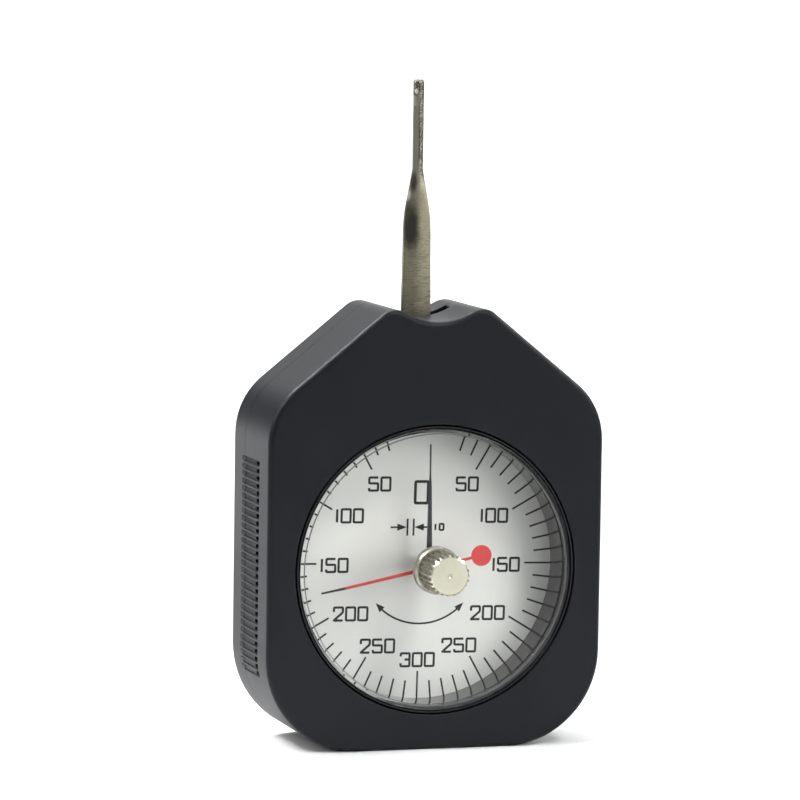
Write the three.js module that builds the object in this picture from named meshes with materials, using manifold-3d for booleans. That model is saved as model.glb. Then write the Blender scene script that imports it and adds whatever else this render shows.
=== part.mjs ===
// Dial tension gauge: a feeler lever above the casing turns a pointer over a two-sided dial.
// Millimetres. +Z runs up along the lever, +X to the right and the dial faces -Y.
// The origin is the middle of the casing's flat foot. Inside the file every piece is drawn
// with y as its depth behind the casing's front face, and one group moves them all into place.

import * as THREE from "three";
import { mergeGeometries, mergeVertices } from "three/addons/utils/BufferGeometryUtils.js";
import Module from "manifold-3d";

const library = await Module();
library.setup();

// Running clearances and the overrun of a cutting tool
const clearance = 0.3;
const overrun = 1;

// Casing outline, seen from the front: sharp corners and the radius that rounds each
const caseWidth = 62;
const footCornerRadius = 17;
const shoulderDrop = 17.9;
const shoulderRadius = 13;
const peakOffset = 9.05;
const peakHeadroom = 14.7;
const peakRadius = 2.3;
const saddleDip = 3.3;
const saddleRadius = 15.4;
const edgeRadius = 1;
const wall = 2;

// Casing details
const partingGap = 0.2;
const lipThickness = 0.9;
const lipHeight = 1.6;
const lipRoot = 1;
const slotSideRoom = 0.35;
const slotFrontRoom = 0.5;
const slotRearRoom = 0.8;
const gripCount = 29;
const gripPitch = 1.34;
const gripRib = 0.28;
const gripCut = 0.75;
const gripFrontDepth = 6.4;
const gripRearReach = 1.6;

// Case screws and their bosses
const upperBossInset = 11;
const bossMargin = 0.8;
const bossRadius = 3;
const caseScrewRadius = 1.1;
const caseScrewHeadRadius = 2.3;
const caseScrewHeadHeight = 1.2;
const caseScrewSink = 1.8;
const caseScrewEndDepth = 4.5;
const screwSlotWidth = 0.5;

// Dial, crystal and bezel ring
const dialHeight = 32.2;
const dialThickness = 0.5;
const dialHoleRadius = 2.5;
const dialTurnDegrees = 1.12;
const openingMargin = 5.1;
const crystalRimWidth = 0.55;
const crystalRimDepth = 0.1;
const crystalRimChamfer = 0.12;
const crystalFaceDepth = 0.9;
const crystalThickness = 2;
const crystalWall = 0.7;
const bezelThickness = 0.25;
const bezelFrontDepth = 0.05;
const wellWall = 1.5;
const ledgeWidth = 3.4;
const ledgeThickness = 1.2;

// Pointers
const pointerThickness = 0.3;
const pointerTipMargin = 3.05;
const pointerHubRadius = 2.2;
const pointerRootWidth = 1.03;
const pointerShoulderShare = 0.66;
const pointerShoulderWidth = 0.52;
const pointerNeedleWidth = 0.24;
const pointerTailLength = 3.2;
const pointerAboveDial = 4.7;
const pointerHubLength = 2.6;
const pointerHubOuterRadius = 1.9;
const dragPointerGap = 0.7;
const dragPointerTipMargin = 4.55;
const dragPointerHubRadius = 2.2;
const dragPointerRootWidth = 0.85;
const dragPointerTipWidth = 0.45;
const dragPointerTipRun = 4.3;
const dragPointerDrop = 0.6;
const dragPointerDegrees = -101.8;
const counterweightRadius = 2;
const counterweightReach = 9.75;
const counterweightNeck = 0.5;

// Reset knob and its spindle
const knobRadius = 3.65;
const knobKnurlDepth = 0.3;
const knobTeeth = 26;
const knobReach = 8.2;
const knobCollarRadius = 4.05;
const knobCollarLength = 2;
const knobCollarChamfer = 0.3;
const knobDimpleRadius = 0.35;
const knobDimpleDepth = 0.4;
const spindleRadius = 1;
const spindleHold = 4;
const spindleEnd = 0.1;
const washerThickness = 0.3;
const washerRadius = 2.2;

// Gear pair: a sector on the lever drives the pinion of the pointer arbor
const toothModule = 0.4;
const pinionTeeth = 10;
const wheelTeeth = 150;
const sectorTeeth = 13;
const pressureAngle = THREE.MathUtils.degToRad(20);
const wheelAddendumShare = 0.6;
const pinionAddendumShare = 1;
const wheelDedendumShare = 1.25;
const pinionDedendumShare = 0.95;
const backlash = 0.05;
const pinionOverhang = 0.2;
const sectorThickness = 1;
const sectorHubRadius = 5;
const sectorArmWidth = 7;
const sectorRimWidth = 3;
const arborRadius = 0.75;
const arborNose = 0.4;
const arborTail = 0.2;

// Feeler lever
const leverReach = 54.4;
const leverBaseWidth = 5.4;
const leverNeckWidth = 5.03;
const leverThickness = 1.2;
const leverEdgeRadius = 0.15;
const leverNeckReach = 27.8;
const leverRodReach = 38.8;
const leverRodWidth = 1.95;
const leverTipRound = 0.5;
const leverRingRadius = 5;
const leverTailLength = 10;
const hubBarrelRadius = 2.6;
const hubFlangeRadius = 4.5;
const hubFlangeThickness = 0.5;
const pivotRadius = 1.5;
const bushWall = 1.1;
const arborBushWall = 0.85;
const rivetRadius = 0.6;
const rivetHeadRadius = 1.1;
const rivetHeadHeight = 0.35;
const rivetReaches = [6.2, 8.6];

// Plates, pillars, stops and springs
const plateThickness = 1;
const plateMargin = 0.6;
const bridgeWidthShare = 0.387;
const bridgeDrop = 10.2;
const bridgeTopRoom = 1.6;
const bridgeCornerRadius = 3;
const bridgeFrameWidth = 5.5;
const bridgeWindowShares = [0.36, 0.68];
const pillarRadius = 1.7;
const pillarStubRadius = 0.9;
const pillarBoreLength = 3;
const upperPillarInset = 2.5;
const upperPillarDrop = 3.5;
const lowerPillarInset = 3;
const lowerPillarRise = 4;
const bridgeScrewRadius = 0.8;
const bridgeScrewHeadRadius = 1.5;
const bridgeScrewHeadHeight = 0.9;
const rearRoom = 0.5;
const leverSwing = THREE.MathUtils.degToRad(12);
const stopRadius = 0.8;
const stopReach = 8;
const stubRadius = 0.6;
const springReach = 14;
const springPostInset = 12;
const springDiameter = 2;
const springWire = 0.4;
const springCurls = 10;
const springPinRadius = 0.7;
const springPinHead = 0.4;
const springHookTurn = 1.2 * Math.PI;
const hairspringInner = 2;
const hairspringOuter = 5.4;
const hairspringTurns = 3;
const hairspringStrip = 0.15;
const hairspringWidth = 0.6;
const colletRadius = 1.7;
const colletLength = 0.8;

// How finely round things are drawn
const dialSegments = 60;
const roundSegments = 24;
const smallSegments = 12;
const arcSteps = 4;
const curlSteps = 8;
const hookSteps = 6;
const wireSides = 5;

// Depths behind the front face, each worked out from the piece in front of it
const crystalBackDepth = crystalFaceDepth + crystalThickness;
const dragPointerDepth = crystalBackDepth + dragPointerGap;
const pointerDepth = dragPointerDepth + pointerThickness + dragPointerDrop + clearance;
const dialDepth = pointerDepth + pointerThickness + pointerAboveDial;
const dialBackDepth = dialDepth + dialThickness;
const ledgeDepth = dialBackDepth + clearance;
const ledgeBackDepth = ledgeDepth + ledgeThickness;
const plateDepth = ledgeBackDepth + clearance;
const plateBackDepth = plateDepth + plateThickness;
const flangeDepth = plateBackDepth + clearance;
const leverDepth = flangeDepth + hubFlangeThickness + clearance;
const leverBackDepth = leverDepth + leverThickness;
const sectorDepth = leverBackDepth + clearance;
const sectorBackDepth = sectorDepth + sectorThickness;
const springDepth = sectorBackDepth + clearance + springDiameter / 2;
const bridgeDepth = springDepth + springDiameter / 2 + clearance;
const bridgeBackDepth = bridgeDepth + plateThickness;
const springTop = bridgeDepth - clearance;
const hairspringDepth = sectorBackDepth + clearance + hairspringWidth / 2 + pinionOverhang;
const rearWallDepth = bridgeBackDepth + clearance + bridgeScrewHeadHeight + rearRoom;
const caseDepth = rearWallDepth + wall;
const partingDepth = leverBackDepth + slotRearRoom;
const slotDepth = leverDepth - slotFrontRoom;

// Radii and heights worked out from the sizes above
const openingRadius = caseWidth / 2 - openingMargin;
const bezelOuter = openingRadius - clearance;
const bezelInner = bezelOuter - bezelThickness;
const crystalRadius = bezelInner - clearance;
const wellRadius = openingRadius + wellWall;
const ledgeRadius = openingRadius - ledgeWidth;
const wheelRadius = (toothModule * wheelTeeth) / 2;
const pinionRadius = (toothModule * pinionTeeth) / 2;
const pivotHeight = dialHeight + wheelRadius + pinionRadius;
const peakHeight = pivotHeight + peakHeadroom;
const saddleHeight = peakHeight - saddleDip;
const shoulderHeight = peakHeight - shoulderDrop;
const slotHalfWidth = peakHeadroom * Math.sin(leverSwing) + leverBaseWidth / 2 + slotSideRoom;
const pointerLength = crystalRadius - pointerTipMargin;
const pointerShoulderLength = pointerLength * pointerShoulderShare;
const dragPointerLength = crystalRadius - dragPointerTipMargin;
const dragPointerBend = dragPointerLength - dragPointerTipRun;
const bridgeHalfWidth = (caseWidth / 2) * bridgeWidthShare;
const bridgeFootHeight = dialHeight - bridgeDrop;
const bridgeTopHeight = saddleHeight - wall - bridgeTopRoom;
const leverBoreRadius = hubBarrelRadius + clearance;
const pivotBushOuter = pivotRadius + clearance + bushWall;
const arborBushOuter = arborRadius + clearance + arborBushWall;
const springPinHeight = pivotHeight - springReach;
const springSpan = caseWidth / 2 - springPostInset;
const bossHoleRadius = caseScrewRadius + clearance;
const studReach = hairspringOuter + hairspringStrip / 2 + clearance + stubRadius;

const colours = {
  casing: { color: 0x26272a, roughness: 0.55, metalness: 0 },
  steel: { color: 0x8d8a80, roughness: 0.35, metalness: 1 },
  screw: { color: 0x6f7072, roughness: 0.4, metalness: 1 },
  nickel: { color: 0xd8d6cc, roughness: 0.25, metalness: 1 },
  brass: { color: 0xb59a55, roughness: 0.4, metalness: 1 },
  dial: { color: 0xc8c9c3, roughness: 0.5, metalness: 0.4 },
  black: { color: 0x17181a, roughness: 0.5, metalness: 0 },
  red: { color: 0xc8403c, roughness: 0.5, metalness: 0 },
  clear: { color: 0xe8ecec, roughness: 0.05, metalness: 0, transparent: true, opacity: 0.3 },
};

// A closed body made of one geometry, ready to be joined and cut
function solidOf(geometry) {
  const bare = geometry.index ? geometry.clone() : mergeVertices(geometry);
  bare.deleteAttribute("normal");
  bare.deleteAttribute("uv");
  const merged = mergeVertices(bare);
  const places = merged.getAttribute("position").array;
  const corners = merged.index.array;
  const kept = [];
  for (let i = 0; i < corners.length; i += 3) {
    const [a, b, c] = [corners[i], corners[i + 1], corners[i + 2]];
    if (a !== b && b !== c && c !== a) kept.push(a, b, c);
  }
  if (signedVolume(places, kept) < 0) kept.reverse();
  return new library.Manifold(new library.Mesh({
    numProp: 3,
    vertProperties: new Float32Array(places),
    triVerts: new Uint32Array(kept),
  }));
}

function signedVolume(places, corners) {
  const [a, b, c] = [new THREE.Vector3(), new THREE.Vector3(), new THREE.Vector3()];
  let sum = 0;
  for (let i = 0; i < corners.length; i += 3) {
    a.fromArray(places, corners[i] * 3);
    b.fromArray(places, corners[i + 1] * 3);
    c.fromArray(places, corners[i + 2] * 3);
    sum += a.dot(b.cross(c));
  }
  return sum;
}

function meshOf(name, solid, look) {
  const { vertProperties, triVerts } = solid.getMesh();
  const geometry = new THREE.BufferGeometry();
  geometry.setAttribute("position", new THREE.BufferAttribute(vertProperties, 3));
  geometry.setIndex(new THREE.BufferAttribute(triVerts, 1));
  geometry.computeVertexNormals();
  const mesh = new THREE.Mesh(geometry, new THREE.MeshStandardMaterial(look));
  mesh.name = name;
  return mesh;
}

function blockOf(x0, x1, y0, y1, z0, z1) {
  const box = new THREE.BoxGeometry(x1 - x0, y1 - y0, z1 - z0);
  return box.translate((x0 + x1) / 2, (y0 + y1) / 2, (z0 + z1) / 2);
}

// A round bar along the depth axis, from depth y0 to y1
function bar(radius, y0, y1, x = 0, z = 0, segments = roundSegments) {
  const cylinder = new THREE.CylinderGeometry(radius, radius, y1 - y0, segments);
  return solidOf(cylinder.translate(x, (y0 + y1) / 2, z));
}

// A turned piece: its profile is a closed list of [radius, depth] points
function turned(profile, segments = roundSegments) {
  const points = profile.map(([radius, depth]) => new THREE.Vector2(radius, depth));
  points.push(points[0].clone());
  return solidOf(new THREE.LatheGeometry(points, segments));
}

function tube(inner, outer, y0, y1, segments = roundSegments) {
  return turned([[inner, y0], [outer, y0], [outer, y1], [inner, y1]], segments);
}

// A flat plate: a shape drawn in x and z, from depth y0 to y1
function plate(shape, y0, y1) {
  const settings = { depth: y1 - y0, bevelEnabled: false, curveSegments: arcSteps };
  const geometry = new THREE.ExtrudeGeometry(shape, settings);
  return solidOf(geometry.rotateX(Math.PI / 2).translate(0, y1, 0));
}

function shapeOf(points) {
  return new THREE.Shape(points.map(([x, z]) => new THREE.Vector2(x, z)));
}

// Clockwise from straight up, as seen from the front
function polar(radius, angle) {
  return [radius * Math.sin(angle), radius * Math.cos(angle)];
}

function addAll(solids) {
  return solids.reduce((sum, solid) => sum.add(solid));
}

function cutAll(solid, tools) {
  return tools.reduce((rest, tool) => rest.subtract(tool), solid);
}

function mirrored(x) {
  return [-x, x];
}

// Corners of the casing's outline, anticlockwise from the lower left
function caseCorners() {
  const half = caseWidth / 2;
  return [
    { x: -half, z: 0, radius: footCornerRadius },
    { x: half, z: 0, radius: footCornerRadius },
    { x: half, z: shoulderHeight, radius: shoulderRadius },
    { x: peakOffset, z: peakHeight, radius: peakRadius },
    { x: 0, z: saddleHeight, radius: saddleRadius },
    { x: -peakOffset, z: peakHeight, radius: peakRadius },
    { x: -half, z: shoulderHeight, radius: shoulderRadius },
  ];
}

// The directions of the two sides that meet at a corner
function sidesAt(corners, i) {
  const here = corners[i];
  const before = corners[(i + corners.length - 1) % corners.length];
  const after = corners[(i + 1) % corners.length];
  const into = new THREE.Vector2(here.x - before.x, here.z - before.z).normalize();
  const away = new THREE.Vector2(after.x - here.x, after.z - here.z).normalize();
  return { into, away, turn: into.cross(away) };
}

// The same outline, drawn a distance further in
function inset(corners, distance) {
  return corners.map((corner, i) => {
    const { into, away, turn } = sidesAt(corners, i);
    const push = distance / (1 + into.dot(away));
    const radius = turn > 0 ? corner.radius - distance : corner.radius + distance;
    return {
      x: corner.x - (into.y + away.y) * push,
      z: corner.z + (into.x + away.x) * push,
      radius: Math.max(radius, clearance),
    };
  });
}

// Corners rounded by arcs that run smoothly into the straight sides
function roundedShape(corners) {
  const shape = new THREE.Shape();
  corners.forEach((corner, i) => {
    const { into, away, turn } = sidesAt(corners, i);
    const bend = Math.acos(THREE.MathUtils.clamp(into.dot(away), -1, 1));
    const reach = corner.radius * Math.tan(bend / 2);
    const side = Math.sign(turn);
    const start = new THREE.Vector2(corner.x, corner.z).addScaledVector(into, -reach);
    const inward = new THREE.Vector2(-into.y, into.x).multiplyScalar(side * corner.radius);
    const centre = start.clone().add(inward);
    const first = Math.atan2(start.y - centre.y, start.x - centre.x);
    shape.absarc(centre.x, centre.y, corner.radius, first, first + side * bend, side < 0);
  });
  return shape;
}

function casePrism(distance, y0, y1) {
  return plate(roundedShape(inset(caseCorners(), distance)), y0, y1);
}

// The whole casing as one block with rounded front and back edges
function caseBlock() {
  const geometry = new THREE.ExtrudeGeometry(roundedShape(caseCorners()), {
    depth: caseDepth - 2 * edgeRadius,
    bevelEnabled: true,
    bevelThickness: edgeRadius,
    bevelSize: edgeRadius,
    bevelOffset: -edgeRadius,
    bevelSegments: 2,
    curveSegments: arcSteps,
  });
  return solidOf(geometry.rotateX(Math.PI / 2).translate(0, caseDepth - edgeRadius, 0));
}

function slabBetween(y0, y1) {
  return solidOf(blockOf(-caseWidth, caseWidth, y0, y1, -overrun, peakHeight + overrun));
}

// Two bosses beside the shoulders and two in the round corners of the foot
function bossCentres() {
  const reach = (footCornerRadius - wall - bossRadius - bossMargin) * Math.SQRT1_2;
  const half = caseWidth / 2;
  const upper = [half - upperBossInset, shoulderHeight];
  const lower = [half - footCornerRadius + reach, footCornerRadius - reach];
  return [upper, lower].flatMap(([x, z]) => mirrored(x).map((side) => [side, z]));
}

const bossPlaces = bossCentres();

// Grip grooves on both sides, centred on the height of the dial
function gripGrooves(y0, y1) {
  const boxes = [];
  for (let i = 0; i < gripCount; i += 1) {
    const z = dialHeight + (i - (gripCount - 1) / 2) * gripPitch;
    const half = (gripPitch - gripRib) / 2;
    for (const side of mirrored(caseWidth / 2)) {
      boxes.push(blockOf(side - gripCut, side + gripCut, y0, y1, z - half, z + half));
    }
  }
  return solidOf(mergeGeometries(boxes));
}

function leverSlot() {
  const low = saddleHeight - 2 * wall;
  const high = peakHeight + overrun;
  return solidOf(blockOf(-slotHalfWidth, slotHalfWidth, slotDepth, partingDepth, low, high));
}

function frontShell() {
  const end = partingDepth - partingGap / 2;
  const shell = caseBlock().intersect(slabBetween(-overrun, end));
  const hollow = casePrism(wall, wall, end + overrun);
  const bosses = bossPlaces.map(([x, z]) => (
    bar(bossRadius, wall / 2, ledgeBackDepth, x, z, smallSegments)
  ));
  const well = bar(wellRadius, wall / 2, ledgeBackDepth, 0, dialHeight, dialSegments);
  const body = addAll([shell.subtract(hollow), ...bosses, well.intersect(caseBlock())]);
  const holes = bossPlaces.map(([x, z]) => (
    bar(bossHoleRadius, caseScrewEndDepth - clearance, ledgeBackDepth + overrun, x, z, smallSegments)
  ));
  const opening = bar(openingRadius, -overrun, ledgeDepth, 0, dialHeight, dialSegments);
  const ledgeHole = bar(ledgeRadius, 0, ledgeBackDepth + overrun, 0, dialHeight, dialSegments);
  const grooves = gripGrooves(gripFrontDepth, end + overrun);
  const cuts = [...holes, opening, ledgeHole, leverSlot(), grooves];
  return meshOf("front_shell", cutAll(body, cuts), colours.casing);
}

function rearCover() {
  const start = partingDepth + partingGap / 2;
  const cover = caseBlock().intersect(slabBetween(start, caseDepth + overrun));
  const hollow = casePrism(wall, start - overrun, rearWallDepth);
  const lipFront = partingDepth - lipHeight;
  const lipInner = casePrism(wall + clearance + lipThickness, lipFront - overrun, start + 2 * lipRoot);
  const lip = casePrism(wall + clearance, lipFront, start + lipRoot).subtract(lipInner);
  const lipRing = casePrism(wall - clearance, start, start + lipRoot).subtract(lipInner);
  const bosses = bossPlaces.map(([x, z]) => (
    bar(bossRadius, plateBackDepth + clearance, rearWallDepth + wall / 2, x, z, smallSegments)
  ));
  const body = addAll([cover.subtract(hollow), lip, lipRing, ...bosses]);
  const holes = bossPlaces.flatMap(([x, z]) => [
    bar(bossHoleRadius, plateDepth, caseDepth + overrun, x, z, smallSegments),
    bar(caseScrewHeadRadius + clearance, caseDepth - caseScrewSink, caseDepth + overrun, x, z),
  ]);
  const slotHalf = slotHalfWidth + clearance;
  const slotRoom = solidOf(blockOf(-slotHalf, slotHalf, 0, start + lipRoot + overrun,
    saddleHeight - 3 * wall, saddleHeight + wall / 2));
  const lipSlot = slotRoom.intersect(casePrism(wall, 0, caseDepth));
  const grooves = gripGrooves(start - overrun, partingDepth + gripRearReach);
  return meshOf("rear_cover", cutAll(body, [...holes, lipSlot, grooves]), colours.casing);
}

function caseScrew(number, [x, z]) {
  const seat = caseDepth - caseScrewSink + clearance;
  const top = seat + caseScrewHeadHeight;
  const slot = blockOf(-caseScrewHeadRadius, caseScrewHeadRadius, top - screwSlotWidth, top + overrun,
    -screwSlotWidth / 2, screwSlotWidth / 2);
  const screw = bar(caseScrewRadius, caseScrewEndDepth, seat + caseScrewHeadHeight / 2, 0, 0, smallSegments)
    .add(bar(caseScrewHeadRadius, seat, top))
    .subtract(solidOf(slot));
  const mesh = meshOf(`case_screw_${number}`, screw, colours.screw);
  mesh.position.set(x, 0, z);
  return mesh;
}

function crystal() {
  const rimInner = crystalRadius - crystalRimWidth;
  const cupInner = crystalRadius - crystalWall;
  const end = dialDepth - clearance;
  const cup = turned([
    [spindleRadius + clearance, crystalFaceDepth],
    [rimInner, crystalFaceDepth],
    [rimInner, crystalRimDepth],
    [crystalRadius - crystalRimChamfer, crystalRimDepth],
    [crystalRadius, crystalRimDepth + crystalRimChamfer],
    [crystalRadius, end],
    [cupInner, end],
    [cupInner, crystalBackDepth],
    [spindleRadius + clearance, crystalBackDepth],
  ], dialSegments);
  return meshOf("crystal", cup, colours.clear);
}

function bezelRing() {
  const ring = tube(bezelInner, bezelOuter, bezelFrontDepth, dialBackDepth, dialSegments);
  return meshOf("bezel_ring", ring, colours.black);
}

function dialPlate() {
  const disc = tube(dialHoleRadius, crystalRadius, dialDepth, dialBackDepth, dialSegments);
  const mesh = meshOf("dial_plate", disc, colours.dial);
  mesh.rotation.y = THREE.MathUtils.degToRad(dialTurnDegrees);
  return mesh;
}

// The black pointer stands straight up at rest
function forcePointer() {
  const needle = shapeOf([
    [-pointerRootWidth / 2, -pointerTailLength],
    [pointerRootWidth / 2, -pointerTailLength],
    [pointerRootWidth / 2, pointerHubRadius],
    [pointerShoulderWidth / 2, pointerShoulderLength],
    [pointerNeedleWidth / 2, pointerShoulderLength + pointerHubRadius],
    [pointerNeedleWidth / 2, pointerLength],
    [-pointerNeedleWidth / 2, pointerLength],
    [-pointerNeedleWidth / 2, pointerShoulderLength + pointerHubRadius],
    [-pointerShoulderWidth / 2, pointerShoulderLength],
    [-pointerRootWidth / 2, pointerHubRadius],
  ]);
  const back = pointerDepth + pointerThickness;
  const solid = plate(needle, pointerDepth, back)
    .add(bar(pointerHubRadius, pointerDepth, back))
    .subtract(bar(arborRadius + clearance, 0, back + overrun, 0, 0, smallSegments));
  return meshOf("force_pointer", solid, colours.black);
}

// The red pointer is drawn straight up and turned to where it was last pushed
function dragPointer() {
  const back = dragPointerDepth + pointerThickness;
  const slope = (dragPointerRootWidth - dragPointerTipWidth) / dragPointerBend;
  const arm = shapeOf([
    [-dragPointerRootWidth / 2, 0],
    [dragPointerRootWidth / 2, 0],
    [dragPointerTipWidth / 2, dragPointerBend],
    [-dragPointerTipWidth / 2, dragPointerBend],
  ]);
  const neck = shapeOf([
    [-counterweightNeck / 2, -counterweightReach],
    [counterweightNeck / 2, -counterweightReach],
    [counterweightNeck / 2, 0],
    [-counterweightNeck / 2, 0],
  ]);
  const run = dragPointerLength - dragPointerBend;
  const tip = new THREE.BoxGeometry(dragPointerTipWidth - slope, pointerThickness, run);
  const lean = Math.atan2(dragPointerDrop, run);
  tip.translate(0, pointerThickness / 2, run / 2).rotateX(-lean);
  tip.translate(0, dragPointerDepth, dragPointerBend - pointerThickness * Math.sin(lean));
  const solid = addAll([
    plate(arm, dragPointerDepth, back),
    plate(neck, dragPointerDepth, back),
    bar(dragPointerHubRadius, dragPointerDepth, back),
    bar(counterweightRadius, dragPointerDepth, back, 0, -counterweightReach),
    solidOf(tip),
  ]).subtract(bar(spindleRadius + clearance, 0, back + overrun, 0, 0, smallSegments));
  const mesh = meshOf("drag_pointer", solid, colours.red);
  mesh.rotation.y = THREE.MathUtils.degToRad(dragPointerDegrees);
  return mesh;
}

function knobOutline() {
  const points = [];
  for (let i = 0; i < knobTeeth; i += 1) {
    const step = (2 * Math.PI) / knobTeeth;
    const valley = knobRadius - knobKnurlDepth;
    for (const share of [-0.5, -0.3]) points.push(polar(valley, (i + share) * step));
    for (const share of [-0.12, 0.12]) points.push(polar(knobRadius, (i + share) * step));
    points.push(polar(valley, (i + 0.3) * step));
  }
  return shapeOf(points);
}

function resetKnob() {
  const base = crystalFaceDepth - clearance;
  const collarFront = base - knobCollarLength;
  const collar = turned([
    [0, collarFront],
    [knobCollarRadius - knobCollarChamfer, collarFront],
    [knobCollarRadius, collarFront + knobCollarChamfer],
    [knobCollarRadius, base],
    [0, base],
  ]);
  const dimple = new THREE.ConeGeometry(knobDimpleRadius, 2 * knobDimpleDepth, smallSegments);
  dimple.translate(0, -knobReach, 0);
  const solid = plate(knobOutline(), -knobReach, collarFront + knobCollarChamfer)
    .add(collar)
    .subtract(bar(spindleRadius + clearance, -spindleHold - clearance, base + overrun, 0, 0, smallSegments))
    .subtract(solidOf(dimple));
  return meshOf("reset_knob", solid, colours.nickel);
}

function knobSpindle() {
  const end = dragPointerDepth + pointerThickness + spindleEnd;
  return meshOf("knob_spindle", bar(spindleRadius, -spindleHold, end, 0, 0, smallSegments), colours.steel);
}

function spindleWasher() {
  const room = (dragPointerGap - washerThickness) / 2;
  const start = crystalBackDepth + room;
  const washer = tube(spindleRadius + clearance, washerRadius, start, start + washerThickness);
  return meshOf("spindle_washer", washer, colours.steel);
}

function involute(angle) {
  return Math.tan(angle) - angle;
}

// One tooth of a gear: its outline from the left root to the right root, centred on an angle
function tooth(pitch, addendum, dedendum, centre) {
  const base = pitch * Math.cos(pressureAngle);
  const tip = pitch + addendum;
  const root = pitch - dedendum;
  const halfThickness = (Math.PI * toothModule - backlash) / 4 / pitch;
  const start = Math.max(base, root);
  const flankSteps = 3;
  const angleAt = (radius) => (
    halfThickness + involute(pressureAngle) - involute(Math.acos(Math.min(1, base / radius)))
  );
  const flank = [[root, angleAt(start)]];
  for (let i = 0; i <= flankSteps; i += 1) {
    const radius = start + ((tip - start) * i) / flankSteps;
    flank.push([radius, angleAt(radius)]);
  }
  if (root >= base) flank.shift();
  const left = flank.map(([radius, angle]) => polar(radius, centre - angle));
  const right = flank.map(([radius, angle]) => polar(radius, centre + angle)).reverse();
  return [...left, ...right];
}

// Arbor and pinion are turned and cut from one bar. A gap between teeth faces the sector.
function pointerArbor() {
  const addendum = toothModule * pinionAddendumShare;
  const dedendum = toothModule * pinionDedendumShare;
  const points = [];
  for (let i = 0; i < pinionTeeth; i += 1) {
    const centre = ((i + 0.5) * 2 * Math.PI) / pinionTeeth;
    points.push(...tooth(pinionRadius, addendum, dedendum, centre));
  }
  const pinion = plate(shapeOf(points), sectorDepth - pinionOverhang, sectorBackDepth + pinionOverhang);
  const front = pointerDepth - arborNose;
  const shaft = bar(arborRadius, front, bridgeBackDepth - arborTail, 0, 0, smallSegments);
  return meshOf("pointer_arbor", pinion.add(shaft), colours.steel);
}

function pointerHub() {
  const start = pointerDepth + pointerThickness + clearance;
  const hub = tube(arborRadius + clearance, pointerHubOuterRadius, start, start + pointerHubLength);
  return meshOf("pointer_hub", hub, colours.brass);
}

function hairspringCollet() {
  const start = hairspringDepth - colletLength / 2 + clearance;
  const collet = tube(arborRadius + clearance, colletRadius, start, start + colletLength);
  return meshOf("hairspring_collet", collet, colours.brass);
}

// A flat strip wound outwards at a steady rate, from the collet to the stud on the right
function hairspring() {
  const steps = hairspringTurns * roundSegments;
  const outer = [];
  const inner = [];
  for (let i = 0; i <= steps; i += 1) {
    const radius = hairspringInner + ((hairspringOuter - hairspringInner) * i) / steps;
    const angle = Math.PI / 2 + (2 * Math.PI * hairspringTurns * i) / steps;
    outer.push(polar(radius + hairspringStrip / 2, angle));
    inner.push(polar(radius - hairspringStrip / 2, angle));
  }
  const strip = shapeOf([...outer, ...inner.reverse()]);
  const half = hairspringWidth / 2;
  return meshOf("hairspring", plate(strip, hairspringDepth - half, hairspringDepth + half), colours.steel);
}

function hairspringStud() {
  const start = hairspringDepth - hairspringWidth / 2;
  const solid = bar(stubRadius, start, bridgeBackDepth - arborTail, studReach, 0, smallSegments);
  return meshOf("hairspring_stud", solid, colours.brass);
}

// One ring of points round the lever: a rectangle with rounded corners, or a circle
function leverSection(halfWidth, halfThickness, cornerRadius, height) {
  const cornerSteps = 4;
  const ring = [];
  for (let corner = 0; corner < 4; corner += 1) {
    const sideX = corner === 0 || corner === 3 ? 1 : -1;
    const sideY = corner < 2 ? 1 : -1;
    for (let i = 0; i <= cornerSteps; i += 1) {
      const angle = ((corner + i / cornerSteps) * Math.PI) / 2;
      const x = sideX * (halfWidth - cornerRadius) + cornerRadius * Math.cos(angle);
      const y = sideY * (halfThickness - cornerRadius) + cornerRadius * Math.sin(angle);
      ring.push([x, y, height]);
    }
  }
  return ring;
}

// A closed skin over a stack of rings that all have the same number of points
function skinOver(rings) {
  const count = rings[0].length;
  const places = rings.flat(2);
  const corners = [];
  for (let level = 0; level + 1 < rings.length; level += 1) {
    for (let i = 0; i < count; i += 1) {
      const a = level * count + i;
      const b = level * count + ((i + 1) % count);
      corners.push(a, b, b + count, a, b + count, a + count);
    }
  }
  for (let i = 1; i + 1 < count; i += 1) {
    corners.push(0, i + 1, i);
    const last = (rings.length - 1) * count;
    corners.push(last, last + i, last + i + 1);
  }
  const geometry = new THREE.BufferGeometry();
  geometry.setAttribute("position", new THREE.Float32BufferAttribute(places, 3));
  geometry.setIndex(corners);
  return geometry;
}

// Blade below, a smooth shoulder, and a round rod with a rounded end
function leverRings() {
  const rod = leverRodWidth / 2;
  const rings = [leverSection(leverBaseWidth / 2, leverThickness / 2, leverEdgeRadius, 0)];
  const shoulderSteps = 8;
  for (let i = 0; i <= shoulderSteps; i += 1) {
    const share = i / shoulderSteps;
    const blend = (1 - Math.cos(Math.PI * share)) / 2;
    const halfWidth = THREE.MathUtils.lerp(leverNeckWidth / 2, rod, blend);
    const halfThickness = THREE.MathUtils.lerp(leverThickness / 2, rod, blend);
    const most = Math.min(halfWidth, halfThickness);
    const corner = THREE.MathUtils.lerp(leverEdgeRadius, most, share);
    const height = THREE.MathUtils.lerp(leverNeckReach, leverRodReach, share);
    rings.push(leverSection(halfWidth, halfThickness, corner, height));
  }
  const tipSteps = 3;
  for (let i = 0; i <= tipSteps; i += 1) {
    const angle = (i / tipSteps) * (Math.PI / 2);
    const radius = rod - leverTipRound * (1 - Math.cos(angle));
    rings.push(leverSection(radius, radius, radius, leverReach - leverTipRound * (1 - Math.sin(angle))));
  }
  return rings;
}

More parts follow.
